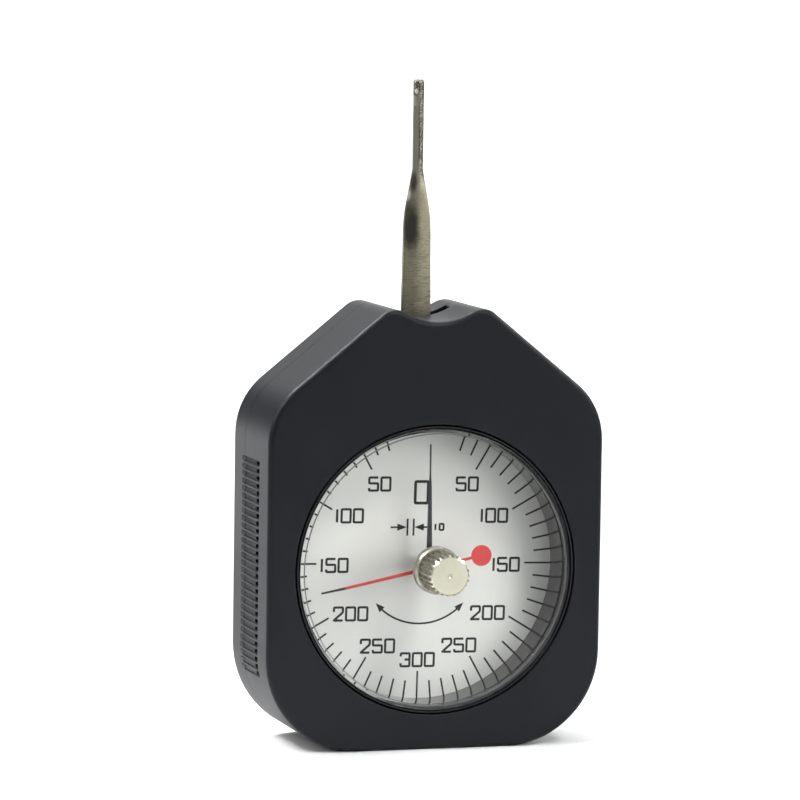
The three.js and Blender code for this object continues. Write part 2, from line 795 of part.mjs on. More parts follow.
function feelerLever() {
  const middle = (leverDepth + leverBackDepth) / 2;
  const blade = solidOf(skinOver(leverRings()).translate(0, middle, 0));
  const half = leverBaseWidth / 2;
  const tail = blockOf(-half, half, leverDepth, leverBackDepth, -leverTailLength, 0);
  const rivetHoles = rivetReaches.map((reach) => (
    bar(rivetRadius + clearance, 0, caseDepth, 0, -reach, smallSegments)
  ));
  const solid = cutAll(addAll([blade, bar(leverRingRadius, leverDepth, leverBackDepth), solidOf(tail)]), [
    bar(leverBoreRadius, 0, caseDepth),
    ...rivetHoles,
  ]);
  return meshOf("feeler_lever", solid, colours.steel);
}

function leverHub() {
  const bore = pivotRadius + clearance;
  const flangeBack = flangeDepth + hubFlangeThickness;
  const profile = [
    [bore, flangeDepth],
    [hubFlangeRadius, flangeDepth],
    [hubFlangeRadius, flangeBack],
    [hubBarrelRadius, flangeBack],
    [hubBarrelRadius, sectorBackDepth + clearance],
    [bore, sectorBackDepth + clearance],
  ];
  return meshOf("lever_hub", turned(profile), colours.brass);
}

function pivotShaft() {
  const solid = bar(pivotRadius, plateDepth + arborTail, bridgeBackDepth - arborTail);
  return meshOf("pivot_shaft", solid, colours.steel);
}

// A rivet's head lies in front of the lever and its closed end behind the sector
function leverRivet(number, reach) {
  const front = leverDepth - clearance;
  const back = sectorBackDepth + clearance;
  const solid = addAll([
    bar(rivetRadius, front - rivetHeadHeight, back + rivetHeadHeight, 0, -reach, smallSegments),
    bar(rivetHeadRadius, front - rivetHeadHeight, front, 0, -reach, smallSegments),
    bar(rivetHeadRadius, back, back + rivetHeadHeight, 0, -reach, smallSegments),
  ]);
  return meshOf(`lever_rivet_${number}`, solid, colours.steel);
}

// Arm and toothed rim, hanging straight down from the pivot. A tooth points at the pinion.
function sectorGear() {
  const addendum = toothModule * wheelAddendumShare;
  const dedendum = toothModule * wheelDedendumShare;
  const step = (2 * Math.PI) / wheelTeeth;
  const rim = [];
  for (let i = 0; i < sectorTeeth; i += 1) {
    const centre = Math.PI + (i - (sectorTeeth - 1) / 2) * step;
    rim.push(...tooth(wheelRadius, addendum, dedendum, centre));
  }
  const half = (sectorTeeth * step) / 2;
  const innerRadius = wheelRadius - dedendum - sectorRimWidth;
  rim.push(polar(wheelRadius - dedendum, Math.PI + half));
  const rimSteps = sectorTeeth;
  for (let i = 0; i <= rimSteps; i += 1) {
    rim.push(polar(innerRadius, Math.PI + half - (2 * half * i) / rimSteps));
  }
  rim.push(polar(wheelRadius - dedendum, Math.PI - half));
  const armHalf = sectorArmWidth / 2;
  const armEnd = -(innerRadius + sectorRimWidth / 2);
  const arm = shapeOf([[-armHalf, 0], [-armHalf, armEnd], [armHalf, armEnd], [armHalf, 0]]);
  const body = addAll([
    plate(shapeOf(rim), sectorDepth, sectorBackDepth),
    plate(arm, sectorDepth, sectorBackDepth),
    bar(sectorHubRadius, sectorDepth, sectorBackDepth),
  ]);
  const holes = [
    bar(leverBoreRadius, 0, caseDepth),
    bar(stubRadius + clearance, 0, caseDepth, 0, -springReach, smallSegments),
    ...rivetReaches.map((reach) => bar(rivetRadius + clearance, 0, caseDepth, 0, -reach, smallSegments)),
  ];
  return meshOf("sector_gear", cutAll(body, holes), colours.brass);
}

// A round post with a stub in the plate that carries it and a head that keeps the spring on
function headedPost(radius, stubEnd, shoulder, headStart, top) {
  return turned([
    [0, stubEnd],
    [stubRadius, stubEnd],
    [stubRadius, shoulder],
    [radius, shoulder],
    [radius, headStart],
    [radius + springPinHead, headStart],
    [radius + springPinHead, top],
    [0, top],
  ], smallSegments);
}

function springPin() {
  const solid = headedPost(springPinRadius, sectorDepth, sectorBackDepth + clearance / 2,
    springTop - springPinHead, springTop);
  const mesh = meshOf("spring_pin", solid, colours.steel);
  mesh.position.z = -springReach;
  return mesh;
}

function springPost(side, x) {
  const solid = headedPost(springPinRadius, plateDepth + arborTail, plateBackDepth + clearance,
    springTop - springPinHead, springTop);
  const mesh = meshOf(`spring_post_${side}`, solid, colours.brass);
  mesh.position.set(x, 0, springPinHeight);
  return mesh;
}

// The wire's middle line: a hook round the pin, the curls, and a hook round the post.
// The two springs share one pin, so each pin hook is shifted in depth.
function springRoute(pinShift) {
  const wire = springWire / 2;
  const hook = springPinRadius + clearance + wire;
  const helix = springDiameter / 2 - wire;
  const start = 2 * hook;
  const end = springSpan - 2 * hook;
  const points = [];
  for (let i = 0; i <= hookSteps; i += 1) {
    const angle = springHookTurn * (i / hookSteps - 1);
    points.push(new THREE.Vector3(hook * Math.sin(angle), pinShift, hook * Math.cos(angle)));
  }
  const steps = springCurls * curlSteps;
  for (let i = 0; i <= steps; i += 1) {
    const angle = (2 * Math.PI * i) / curlSteps;
    const x = THREE.MathUtils.lerp(start, end, i / steps);
    points.push(new THREE.Vector3(x, helix * Math.sin(angle), helix * Math.cos(angle)));
  }
  for (let i = 0; i <= hookSteps; i += 1) {
    const angle = (springHookTurn * i) / hookSteps;
    points.push(new THREE.Vector3(springSpan + hook * Math.sin(angle), 0, hook * Math.cos(angle)));
  }
  return points;
}

// A tube of flat-sided rings along a list of points, closed at both ends
function wireTube(points, radius) {
  const rings = [];
  const normal = new THREE.Vector3(0, 1, 0);
  points.forEach((point, i) => {
    const before = points[Math.max(0, i - 1)];
    const after = points[Math.min(points.length - 1, i + 1)];
    const along = after.clone().sub(before).normalize();
    normal.addScaledVector(along, -normal.dot(along)).normalize();
    const across = along.clone().cross(normal);
    const ring = [];
    for (let side = 0; side < wireSides; side += 1) {
      const angle = (2 * Math.PI * side) / wireSides;
      const place = point.clone()
        .addScaledVector(normal, radius * Math.cos(angle))
        .addScaledVector(across, radius * Math.sin(angle));
      ring.push(place.toArray());
    }
    rings.push(ring);
  });
  return skinOver(rings);
}

function leastSelfGap(points) {
  let least = Infinity;
  for (let i = 0; i < points.length; i += 1) {
    for (let j = i + curlSteps / 2; j < points.length; j += 1) {
      least = Math.min(least, points[i].distanceTo(points[j]));
    }
  }
  return least - springWire;
}

function returnSpring(side, direction) {
  const route = springRoute((direction * (springWire + clearance)) / 2);
  const solid = solidOf(wireTube(route, springWire / 2));
  const mesh = meshOf(`return_spring_${side}`, solid, colours.steel);
  mesh.position.set(0, springDepth, springPinHeight);
  if (direction < 0) mesh.rotation.y = Math.PI;
  return mesh;
}

const springGap = leastSelfGap(springRoute(0)).toFixed(2);
console.log(`return springs: least gap of the wire to itself ${springGap} mm`);

const pillarPlaces = [
  ...mirrored(bridgeHalfWidth - upperPillarInset).map((x) => [x, bridgeTopHeight - upperPillarDrop]),
  ...mirrored(bridgeHalfWidth - lowerPillarInset).map((x) => [x, bridgeFootHeight + lowerPillarRise]),
];

// The stop pins stand where the lever's edge meets them at the end of its swing
function stopPlaces() {
  const half = leverBaseWidth / 2 + stopRadius + clearance;
  const x = half * Math.cos(leverSwing) + stopReach * Math.sin(leverSwing);
  const z = pivotHeight + stopReach * Math.cos(leverSwing) - half * Math.sin(leverSwing);
  return mirrored(x).map((side) => [side, z]);
}

function mountingPlate() {
  const body = casePrism(wall + plateMargin, plateDepth, plateBackDepth);
  const hole = (radius, x, z) => bar(radius, 0, caseDepth, x, z, smallSegments);
  const holes = [
    hole(arborBushOuter + clearance, 0, dialHeight),
    hole(pivotBushOuter + clearance, 0, pivotHeight),
    ...bossPlaces.map(([x, z]) => hole(bossHoleRadius, x, z)),
    ...pillarPlaces.map(([x, z]) => hole(pillarStubRadius + clearance, x, z)),
    ...stopPlaces().map(([x, z]) => hole(stubRadius + clearance, x, z)),
    ...mirrored(springSpan).map((x) => hole(stubRadius + clearance, x, springPinHeight)),
  ];
  return meshOf("mounting_plate", cutAll(body, holes), colours.brass);
}

function bridgePlate() {
  const rounded = (half, low, high, radius) => roundedShape([
    { x: -half, z: low, radius },
    { x: half, z: low, radius },
    { x: half, z: high, radius },
    { x: -half, z: high, radius },
  ]);
  const [lowShare, highShare] = bridgeWindowShares;
  const height = bridgeTopHeight - bridgeFootHeight;
  const window = rounded(bridgeHalfWidth - bridgeFrameWidth, bridgeFootHeight + lowShare * height,
    bridgeFootHeight + highShare * height, bridgeCornerRadius / 2);
  const outline = rounded(bridgeHalfWidth, bridgeFootHeight, bridgeTopHeight, bridgeCornerRadius);
  const hole = (radius, x, z) => bar(radius, 0, caseDepth, x, z, smallSegments);
  return meshOf("bridge_plate", cutAll(plate(outline, bridgeDepth, bridgeBackDepth), [
    plate(window, bridgeDepth - overrun, bridgeBackDepth + overrun),
    hole(arborBushOuter + clearance, 0, dialHeight),
    hole(pivotBushOuter + clearance, 0, pivotHeight),
    hole(stubRadius + clearance, studReach, dialHeight),
    ...pillarPlaces.map(([x, z]) => hole(bridgeScrewRadius + clearance, x, z)),
  ]), colours.brass);
}

function pillar(number, [x, z]) {
  const back = bridgeDepth - clearance;
  const bore = bridgeScrewRadius + clearance;
  const solid = turned([
    [0, plateDepth + arborTail],
    [pillarStubRadius, plateDepth + arborTail],
    [pillarStubRadius, plateBackDepth + clearance],
    [pillarRadius, plateBackDepth + clearance],
    [pillarRadius, back],
    [bore, back],
    [bore, back - pillarBoreLength],
    [0, back - pillarBoreLength],
  ], smallSegments);
  const mesh = meshOf(`pillar_${number}`, solid, colours.brass);
  mesh.position.set(x, 0, z);
  return mesh;
}

function bridgeScrew(number, [x, z]) {
  const seat = bridgeBackDepth + clearance;
  const top = seat + bridgeScrewHeadHeight;
  const slot = blockOf(-bridgeScrewHeadRadius, bridgeScrewHeadRadius, top - screwSlotWidth, top + overrun,
    -screwSlotWidth / 2, screwSlotWidth / 2);
  const tip = bridgeDepth - pillarBoreLength;
  const solid = bar(bridgeScrewRadius, tip, seat + bridgeScrewHeadHeight / 2, 0, 0, smallSegments)
    .add(bar(bridgeScrewHeadRadius, seat, top, 0, 0, smallSegments))
    .subtract(solidOf(slot));
  const mesh = meshOf(`bridge_screw_${number}`, solid, colours.screw);
  mesh.position.set(x, 0, z);
  return mesh;
}

function bush(name, bore, outer, y0, z) {
  const mesh = meshOf(name, tube(bore, outer, y0, y0 + plateThickness, smallSegments), colours.brass);
  mesh.position.z = z;
  return mesh;
}

function stopPin(side, [x, z]) {
  const solid = bar(stubRadius, plateDepth + arborTail, plateBackDepth + overrun, 0, 0, smallSegments)
    .add(bar(stopRadius, plateBackDepth + clearance, leverBackDepth, 0, 0, smallSegments));
  const mesh = meshOf(`stop_pin_${side}`, solid, colours.steel);
  mesh.position.set(x, 0, z);
  return mesh;
}

// Everything on the dial's axis, and everything that swings with the lever
const dialAxis = new THREE.Group();
dialAxis.position.z = dialHeight;
dialAxis.add(crystal(), bezelRing(), dialPlate(), forcePointer(), dragPointer(), resetKnob());
dialAxis.add(knobSpindle(), spindleWasher(), pointerArbor(), pointerHub());
dialAxis.add(hairspringCollet(), hairspring(), hairspringStud());

const leverAxis = new THREE.Group();
leverAxis.position.z = pivotHeight;
leverAxis.add(feelerLever(), leverHub(), pivotShaft(), sectorGear(), springPin());
rivetReaches.forEach((reach, i) => leverAxis.add(leverRivet(i + 1, reach)));

const casing = new THREE.Group();
casing.add(frontShell(), rearCover(), mountingPlate(), bridgePlate());
bossPlaces.forEach((place, i) => casing.add(caseScrew(i + 1, place)));
pillarPlaces.forEach((place, i) => casing.add(pillar(i + 1, place), bridgeScrew(i + 1, place)));
casing.add(bush("pivot_bush_front", pivotRadius + clearance, pivotBushOuter, plateDepth, pivotHeight));
casing.add(bush("pivot_bush_rear", pivotRadius + clearance, pivotBushOuter, bridgeDepth, pivotHeight));
casing.add(bush("arbor_bush_front", arborRadius + clearance, arborBushOuter, plateDepth, dialHeight));
casing.add(bush("arbor_bush_rear", arborRadius + clearance, arborBushOuter, bridgeDepth, dialHeight));
["left", "right"].forEach((side, i) => {
  const direction = i === 0 ? -1 : 1;
  casing.add(stopPin(side, stopPlaces()[i]), springPost(side, direction * springSpan));
  casing.add(returnSpring(side, direction));
});

const gauge = new THREE.Group();
gauge.position.y = -caseDepth / 2;
gauge.add(casing, dialAxis, leverAxis);

export default gauge;
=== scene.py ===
from math import acos, cos, pi, radians, sin, tan

import bmesh
import bpy
from mathutils import Matrix, Vector


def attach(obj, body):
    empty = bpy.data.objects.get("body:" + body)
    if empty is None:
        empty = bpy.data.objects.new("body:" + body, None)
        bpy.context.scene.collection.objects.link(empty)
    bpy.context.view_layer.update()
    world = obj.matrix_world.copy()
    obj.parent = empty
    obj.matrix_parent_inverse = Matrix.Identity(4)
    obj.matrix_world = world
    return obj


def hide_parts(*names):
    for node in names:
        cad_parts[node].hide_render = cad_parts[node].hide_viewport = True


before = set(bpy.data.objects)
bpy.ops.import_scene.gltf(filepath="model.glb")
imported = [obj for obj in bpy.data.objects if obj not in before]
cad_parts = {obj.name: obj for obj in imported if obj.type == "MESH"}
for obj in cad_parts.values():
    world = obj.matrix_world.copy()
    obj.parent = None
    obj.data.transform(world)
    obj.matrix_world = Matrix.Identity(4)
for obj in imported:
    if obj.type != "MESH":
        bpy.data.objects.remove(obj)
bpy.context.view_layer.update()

# Camera: a long lens, a little to the left of the gauge and a little above it, as in the photograph.
# Lengths in this file are millimetres until a piece is finished, apart from the studio's.
mm = 0.001
aim = Vector((0, 0, 40))
camera_turn = -0.298103
camera_rise = 0.0999926
camera_roll = 0.0145082
camera_distance = 862.82
camera_aside = Vector((3.06, -21.22))
lens_length = 216.2
film_width = 36
near_limit = 0.01
far_limit = 60

back = Vector((
    sin(camera_turn) * cos(camera_rise),
    -cos(camera_turn) * cos(camera_rise),
    sin(camera_rise),
))
level = Vector((cos(camera_turn), sin(camera_turn), 0))
upward = back.cross(level)
right = level * cos(camera_roll) + upward * sin(camera_roll)
up = upward * cos(camera_roll) - level * sin(camera_roll)
camera_place = aim + back * camera_distance - right * camera_aside.x - up * camera_aside.y
camera = bpy.data.objects.new("camera", bpy.data.cameras.new("camera"))
camera.data.lens = lens_length
camera.data.sensor_width = film_width
camera.data.clip_start = near_limit
camera.data.clip_end = far_limit
camera.matrix_world = Matrix.Translation(camera_place * mm) @ Matrix((right, up, back)).transposed().to_4x4()
bpy.context.scene.collection.objects.link(camera)
bpy.context.scene.camera = camera
bpy.context.scene.view_settings.view_transform = "Standard"

# Studio: a pale floor, a pale room and soft square lamps, with lengths in metres. The gauge stands on its
# foot. Four large lamps light the floor behind it, and small ones draw its edges.
floor_size = 40
floor_looks = {"Base Color": (0.88, 0.88, 0.88, 1), "Roughness": 0.9, "Specular IOR Level": 0.1}
room_looks = {"Color": (0.93, 0.95, 1, 1), "Strength": 0.17}
dial_middle = (0, -0.02, 0.032)
edge_middle = (0, 0, 0.06)
saddle_middle = (0, -0.01, 0.073)

floor_mesh = bmesh.new()
bmesh.ops.create_grid(floor_mesh, x_segments=1, y_segments=1, size=floor_size / 2)
floor = bpy.data.objects.new("floor", bpy.data.meshes.new("floor"))
floor_mesh.to_mesh(floor.data)
floor_mesh.free()
floor_paint = bpy.data.materials.new("floor")
floor_paint.use_nodes = True
for name, value in floor_looks.items():
    floor_paint.node_tree.nodes["Principled BSDF"].inputs[name].default_value = value
floor.data.materials.append(floor_paint)
bpy.context.scene.collection.objects.link(floor)

room = bpy.data.worlds.new("room")
room.use_nodes = True
for name, value in room_looks.items():
    room.node_tree.nodes["Background"].inputs[name].default_value = value
bpy.context.scene.world = room


def soft_lamp(name, place, width, power, target=aim * mm, spread=180):
    """A square soft box that faces the gauge, or the floor behind it"""
    lamp = bpy.data.lights.new(name, "AREA")
    lamp.shape = "SQUARE"
    lamp.size = width
    lamp.energy = power
    lamp.spread = radians(spread)
    box = bpy.data.objects.new(name, lamp)
    towards = Vector(target) - Vector(place)
    box.matrix_world = Matrix.Translation(place) @ towards.to_track_quat("-Z", "Y").to_matrix().to_4x4()
    bpy.context.scene.collection.objects.link(box)


soft_lamp("near_floor_lamp", (0, 1.1, 1.5), 1.2, 17, (0, 1.1, 0), spread=94)
soft_lamp("middle_floor_lamp", (0, 3.4, 2.2), 2.4, 28, (0, 3.4, 0), spread=110)
soft_lamp("far_floor_lamp", (0.3, 5.5, 3.5), 6, 200, (0.3, 5.5, 0))
soft_lamp("back_floor_lamp", (1, 9, 3.5), 6, 225, (1, 9, 0), spread=110)
soft_lamp("left_lamp", (-0.75, 0.15, 0.55), 0.5, 3.2)
soft_lamp("front_lamp", (0.61, -0.7, 0.28), 0.45, 0.42, spread=60)
soft_lamp("fill_lamp", (0.05, -0.85, 0.55), 0.6, 0.08, spread=60)
soft_lamp("knob_lamp", (-0.5, -0.2, 0.7), 0.12, 0.05, dial_middle, spread=20)
soft_lamp("edge_lamp_left", (-0.41, 0.4, 0.75), 0.15, 0.1, edge_middle, spread=18)
soft_lamp("edge_lamp_top", (0.27, -0.5, 0.8), 0.25, 0.1, saddle_middle, spread=18)
soft_lamp("saddle_lamp", (0.95, 3, 0.42), 0.5, 2.4, saddle_middle)
soft_lamp("edge_lamp_right", (0.8, 0.1, 0.55), 0.2, 0.07, edge_middle, spread=18)


# Front shell: moulded black plastic with a fine satin texture. The dial sits in a round well, the grips are
# moulded into both sides, and the lever comes out of a slot in the dished top.
case_width = 62
case_front = -12
case_depth = 24
parting_depth = 16.2
parting_gap = 0.12
wall = 2
edge_radius = 1
edge_steps = 6
corners = [
    (-31, 0, 17), (31, 0, 17), (31, 61, 13), (8.6, 79.27, 3.8),
    (0, 74.85, 12), (-8.6, 79.27, 3.8), (-31, 61, 13),
]
arc_step = radians(5)
smallest_bend = 0.3
dial_centre = Vector((0, 0, 32.2))
dial_steps = 180
opening_radius = 25.9
mouth_radius = 0.25
mouth_steps = 5
well_radius = 27.4
ledge_depth = 10.6
ledge_back = 11.8
ledge_radius = 22.5
boss_places = [(-20, 61), (20, 61), (-21.92, 9.08), (21.92, 9.08)]
boss_radius = 3
boss_bore = 1.4
boss_bore_front = 4.2
slot_half_width = 6.106
slot_depth = 13
slot_drop = 4
slot_rise = 6
saddle_height = 75.6
overrun = 1
hairline = 0.0001
weld = 0.0005
near = 0.001
grip_count = 29
grip_pitch = 1.34
grip_front = 6.4
grip_back = 17.8
grip_taper = 2.4
grip_end_depth_share = 0.06
grip_end_height_share = 0.85
grip_proud = 0.05
grip_section = [
    (grip_proud, -0.66), (-0.16, -0.44), (-0.22, -0.34), (-0.36, 0.3), (-0.6, 0.36), (-0.6, 0.46),
    (grip_proud, 0.5),
]
pocket_depth = 1
pocket_half_height = 0.42
pocket_half_length = 1.5
pocket_inset_share = 0.85
pocket_steps = 14
plastic_colours = (0.0034, 0.0044, 0.0062, 1), (0.0054, 0.0066, 0.0088, 1)
dust_colour = (0.075, 0.075, 0.072, 1)


class Wire:
    """A socket that a finish is mixed from. Arithmetic on wires adds Math nodes."""

    def __init__(self, finish, socket):
        self.finish = finish
        self.socket = socket

    def math(self, operation, first, second):
        return self.finish.node("ShaderNodeMath", {"operation": operation}, {0: first, 1: second})

    def __add__(self, other):
        return self.math("ADD", self, other)

    def __radd__(self, other):
        return self.math("ADD", other, self)

    def __sub__(self, other):
        return self.math("SUBTRACT", self, other)

    def __rsub__(self, other):
        return self.math("SUBTRACT", other, self)

    def __mul__(self, other):
        return self.math("MULTIPLY", self, other)

    def __rmul__(self, other):
        return self.math("MULTIPLY", other, self)


class Finish:
    """One procedural material, mixed from noise and masks on the object's own coordinates"""

    def __init__(self, name, **fixed):
        self.material = bpy.data.materials.new(name)
        self.material.use_nodes = True
        self.tree = self.material.node_tree
        self.shader = self.tree.nodes["Principled BSDF"]
        self.place = self.node("ShaderNodeTexCoord", output="Object")
        for words, value in fixed.items():
            self.surface({words.replace("_", " ").title().replace("Ior", "IOR"): value})

    def node(self, kind, settings=None, values=None, output=0):
        made = self.tree.nodes.new(kind)
        for name, value in (settings or {}).items():
            setattr(made, name, value)
        self.feed(made, values or {})
        return Wire(self, made.outputs[output])

    def feed(self, made, values):
        for name, value in values.items():
            if isinstance(value, Wire):
                self.tree.links.new(value.socket, made.inputs[name])
            else:
                made.inputs[name].default_value = value

    def surface(self, values):
        self.feed(self.shader, values)

    def noise(self, size, detail, stretch=None, turn=(0, 0, 0)):
        """Noise with features about size millimetres across, or less along an axis with a stretch above 1"""
        place = self.place
        if stretch:
            place = self.node("ShaderNodeMapping", {}, {"Vector": place, "Scale": stretch, "Rotation": turn})
        values = {"Vector": place, "Scale": 1 / (size * mm), "Detail": detail}
        return self.node("ShaderNodeTexNoise", {}, values)

    def mix(self, factor, first, second):
        return self.node("ShaderNodeMix", {"data_type": "RGBA"}, {0: factor, 6: first, 7: second}, output=2)

    def reach(self, middle, radii):
        """Distance from a place, in parts of a radius along each axis. A radius of 0 leaves its axis out"""
        shares = tuple(1 / (radius * mm) if radius else 0 for radius in radii)
        place = Vector(middle) * mm
        away = self.node("ShaderNodeVectorMath", {"operation": "SUBTRACT"}, {0: self.place, 1: place})
        away = self.node("ShaderNodeVectorMath", {"operation": "MULTIPLY"}, {0: away, 1: shares})
        return self.node("ShaderNodeVectorMath", {"operation": "LENGTH"}, {0: away}, output="Value")

    def step(self, wire, low, high):
        """0 below low, 1 above high"""
        values = {"Value": wire, "From Min": low, "From Max": high}
        return self.node("ShaderNodeMapRange", {"interpolation_type": "SMOOTHSTEP"}, values)

    def bump(self, height, depth):
        """A relief that many millimetres deep"""
        values = {"Height": height, "Distance": depth * mm, "Strength": 1}
        return self.node("ShaderNodeBump", {}, values, output="Normal")


def verts_of(geometry):
    """The corners among what an operator gives back"""
    return [item for item in geometry if isinstance(item, bmesh.types.BMVert)]


def arc_outline(mesh, inset, depth):
    """Draws the casing's outline, that much further in: straight sides joined by true arcs"""
    ends = []
    for i, (x, z, radius) in enumerate(corners):
        here = Vector((x, z))
        before = Vector(corners[i - 1][:2])
        after = Vector(corners[(i + 1) % len(corners)][:2])
        into = (here - before).normalized()
        away = (after - here).normalized()
        side = 1 if into.x * away.y - into.y * away.x > 0 else -1
        push = inset / (1 + into.dot(away))
        here += Vector((-into.y - away.y, into.x + away.x)) * push
        radius = max(radius - side * inset, smallest_bend)
        bend = acos(into.dot(away))
        start = here - into * radius * tan(bend / 2)
        middle = start + Vector((-into.y, into.x)) * side * radius
        first = mesh.verts.new((start.x, case_front + depth, start.y))
        arc = bmesh.ops.spin(
            mesh, geom=[first], cent=(middle.x, case_front + depth, middle.y), axis=(0, -side, 0),
            angle=bend, steps=max(4, round(bend / arc_step)))
        ends.append((first, verts_of(arc["geom_last"])[0]))
    for (_, last), (first, _) in zip(ends, ends[1:] + ends[:1]):
        mesh.edges.new((last, first))
    return bmesh.ops.contextual_create(mesh, geom=mesh.edges[:])["faces"][0]


def extruded(mesh, face, start, end):
    """Gives a flat outline its thickness along the depth"""
    grown = bmesh.ops.extrude_face_region(mesh, geom=[face])["geom"]
    bmesh.ops.translate(mesh, vec=(0, end - start, 0), verts=verts_of(grown))
    bmesh.ops.recalc_face_normals(mesh, faces=mesh.faces)
    return mesh


def case_prism(inset, start, end):
    """The casing's outline as a solid, that much further in, from one depth to another"""
    mesh = bmesh.new()
    return extruded(mesh, arc_outline(mesh, inset, start), start, end)


def bevelled(mesh, chosen, width, steps, affect="EDGES"):
    """Rounds the edges or corners chosen"""
    bmesh.ops.bevel(mesh, geom=chosen, offset=width, affect=affect, segments=steps, profile=0.5, material=-1)
    return mesh


def rounded_rim(mesh, depth):
    """Rounds the casing's edge at that depth"""
    rim = [edge for edge in mesh.edges if all(abs(v.co.y - case_front - depth) < near for v in edge.verts)]
    return bevelled(mesh, rim, edge_radius, edge_steps)


def turned(profile, centre, steps):
    """A turned solid: its profile is a list of (radius, depth) points"""
    mesh = bmesh.new()
    points = [mesh.verts.new((centre.x + r, case_front + d, centre.z)) for r, d in profile]
    edges = [mesh.edges.new(pair) for pair in zip(points, points[1:] + points[:1])]
    bmesh.ops.spin(
        mesh, geom=points + edges, cent=(centre.x, 0, centre.z), axis=(0, 1, 0), angle=2 * pi, steps=steps,
        use_merge=True)
    bmesh.ops.remove_doubles(mesh, verts=mesh.verts, dist=weld)
    bmesh.ops.dissolve_degenerate(mesh, edges=mesh.edges, dist=hairline)
    bmesh.ops.recalc_face_normals(mesh, faces=mesh.faces)
    return mesh


def bar(radius, start, end, x, z, steps=32):
    """A plain round bar along the depth"""
    return turned([(0, start), (radius, start), (radius, end), (0, end)], Vector((x, 0, z)), steps)


def block(low, high):
    """A box between two corners, its y as a depth"""
    low, high = Vector(low), Vector(high)
    size = high - low
    middle = (low + high) / 2 + Vector((0, case_front, 0))
    mesh = bmesh.new()
    bmesh.ops.create_cube(mesh, size=1, matrix=Matrix.Translation(middle) @ Matrix.Diagonal((*size, 1)))
    return mesh


def combine(body, operation, tool):
    """Makes one solid of two, which are used up"""
    parts = []
    for solid in (body, tool):
        part = bpy.data.objects.new("solid", bpy.data.meshes.new("solid"))
        solid.to_mesh(part.data)
        solid.free()
        bpy.context.scene.collection.objects.link(part)
        parts.append(part)
    change = parts[0].modifiers.new("change", "BOOLEAN")
    change.operation = operation
    change.object = parts[1]
    change.solver = "EXACT"
    result = bmesh.new()
    result.from_object(parts[0], bpy.context.evaluated_depsgraph_get())
    for part in parts:
        bpy.data.meshes.remove(part.data)
    return result


def joined(body, *tools):
    """A solid with others added to it"""
    for tool in tools:
        body = combine(body, "UNION", tool)
    return body


def cut(body, *tools):
    """A solid with others taken out of it"""
    for tool in tools:
        body = combine(body, "DIFFERENCE", tool)
    return body


def merged(*meshes):
    """Several separate solids in one mesh"""
    whole = bmesh.new()
    for mesh in meshes:
        loose = bpy.data.meshes.new("loose")
        mesh.to_mesh(loose)
        mesh.free()
        whole.from_mesh(loose)
        bpy.data.meshes.remove(loose)
    return whole


def finished(name, mesh, body, finish, stands_for=(), crease=30, weighted=True):
    """Turns a mesh in millimetres into a piece of the gauge, with smooth faces and crisp edges"""
    bmesh.ops.remove_doubles(mesh, verts=mesh.verts, dist=2 * hairline)
    bmesh.ops.scale(mesh, vec=(mm, mm, mm), verts=mesh.verts)
    for face in mesh.faces:
        face.smooth = True
    for edge in mesh.edges:
        edge.smooth = len(edge.link_faces) == 2 and edge.calc_face_angle(pi) < radians(crease)
    piece = bpy.data.objects.new(name, bpy.data.meshes.new(name))
    mesh.to_mesh(piece.data)
    mesh.free()
    bpy.context.scene.collection.objects.link(piece)
    piece.data.materials.append(finish.material)
    if weighted:
        shade = piece.modifiers.new("shade", "WEIGHTED_NORMAL")
        shade.keep_sharp = True
    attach(piece, body)
    if stands_for:
        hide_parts(*stands_for)
    return piece


def groove_cutter():
    """One groove's cutter, for a side face at x 0: a slit under the lip, a slanted floor and a thin end"""
    groove = bmesh.new()
    face = groove.faces.new([groove.verts.new((x, case_front + grip_front, z)) for x, z in grip_section])
    extruded(groove, face, grip_front, grip_back)
    bmesh.ops.bisect_plane(
        groove, geom=groove.verts[:] + groove.edges[:] + groove.faces[:], dist=hairline,
        plane_co=(0, case_front + grip_back - grip_taper, 0), plane_no=(0, 1, 0))
    rear = [v for v in groove.verts if v.co.y > case_front + grip_back - near]
    bmesh.ops.scale(groove, verts=rear, vec=(grip_end_depth_share, 1, grip_end_height_share))
    return groove


def pocket_cutter():
    """The deep oval pocket at a groove's front end"""
    pocket = bmesh.new()
    middle = (
        grip_proud - pocket_depth / 2, case_front + grip_front + pocket_half_length * pocket_inset_share, 0)
    bmesh.ops.create_cone(
        pocket, cap_ends=True, segments=pocket_steps, radius1=1, radius2=1,
        depth=pocket_depth + 2 * grip_proud,
        matrix=Matrix.Translation(middle) @ Matrix.Rotation(pi / 2, 4, "Y")
        @ Matrix.Diagonal((pocket_half_height, pocket_half_length, 1, 1)))
    return pocket


def along_grips(make_cutter):
    """One cutter for each groove on both sides. The lowest ones follow the round corner"""
    cutters = []
    foot_bend = corners[0][2]
    for i in range(grip_count):
        height = dial_centre.z + (i - (grip_count - 1) / 2) * grip_pitch
        for side in (-1, 1):
            cutter = make_cutter()
            bmesh.ops.translate(cutter, verts=cutter.verts, vec=(case_width / 2, 0, max(height, foot_bend)))
            bmesh.ops.rotate(
                cutter, verts=cutter.verts, cent=(case_width / 2 - foot_bend, 0, foot_bend),
                matrix=Matrix.Rotation(max(0, foot_bend - height) / foot_bend, 3, "Y"))
            bmesh.ops.scale(cutter, verts=cutter.verts, vec=(side, 1, 1))
            bmesh.ops.recalc_face_normals(cutter, faces=cutter.faces)
            cutters.append(cutter)
    return merged(*cutters)


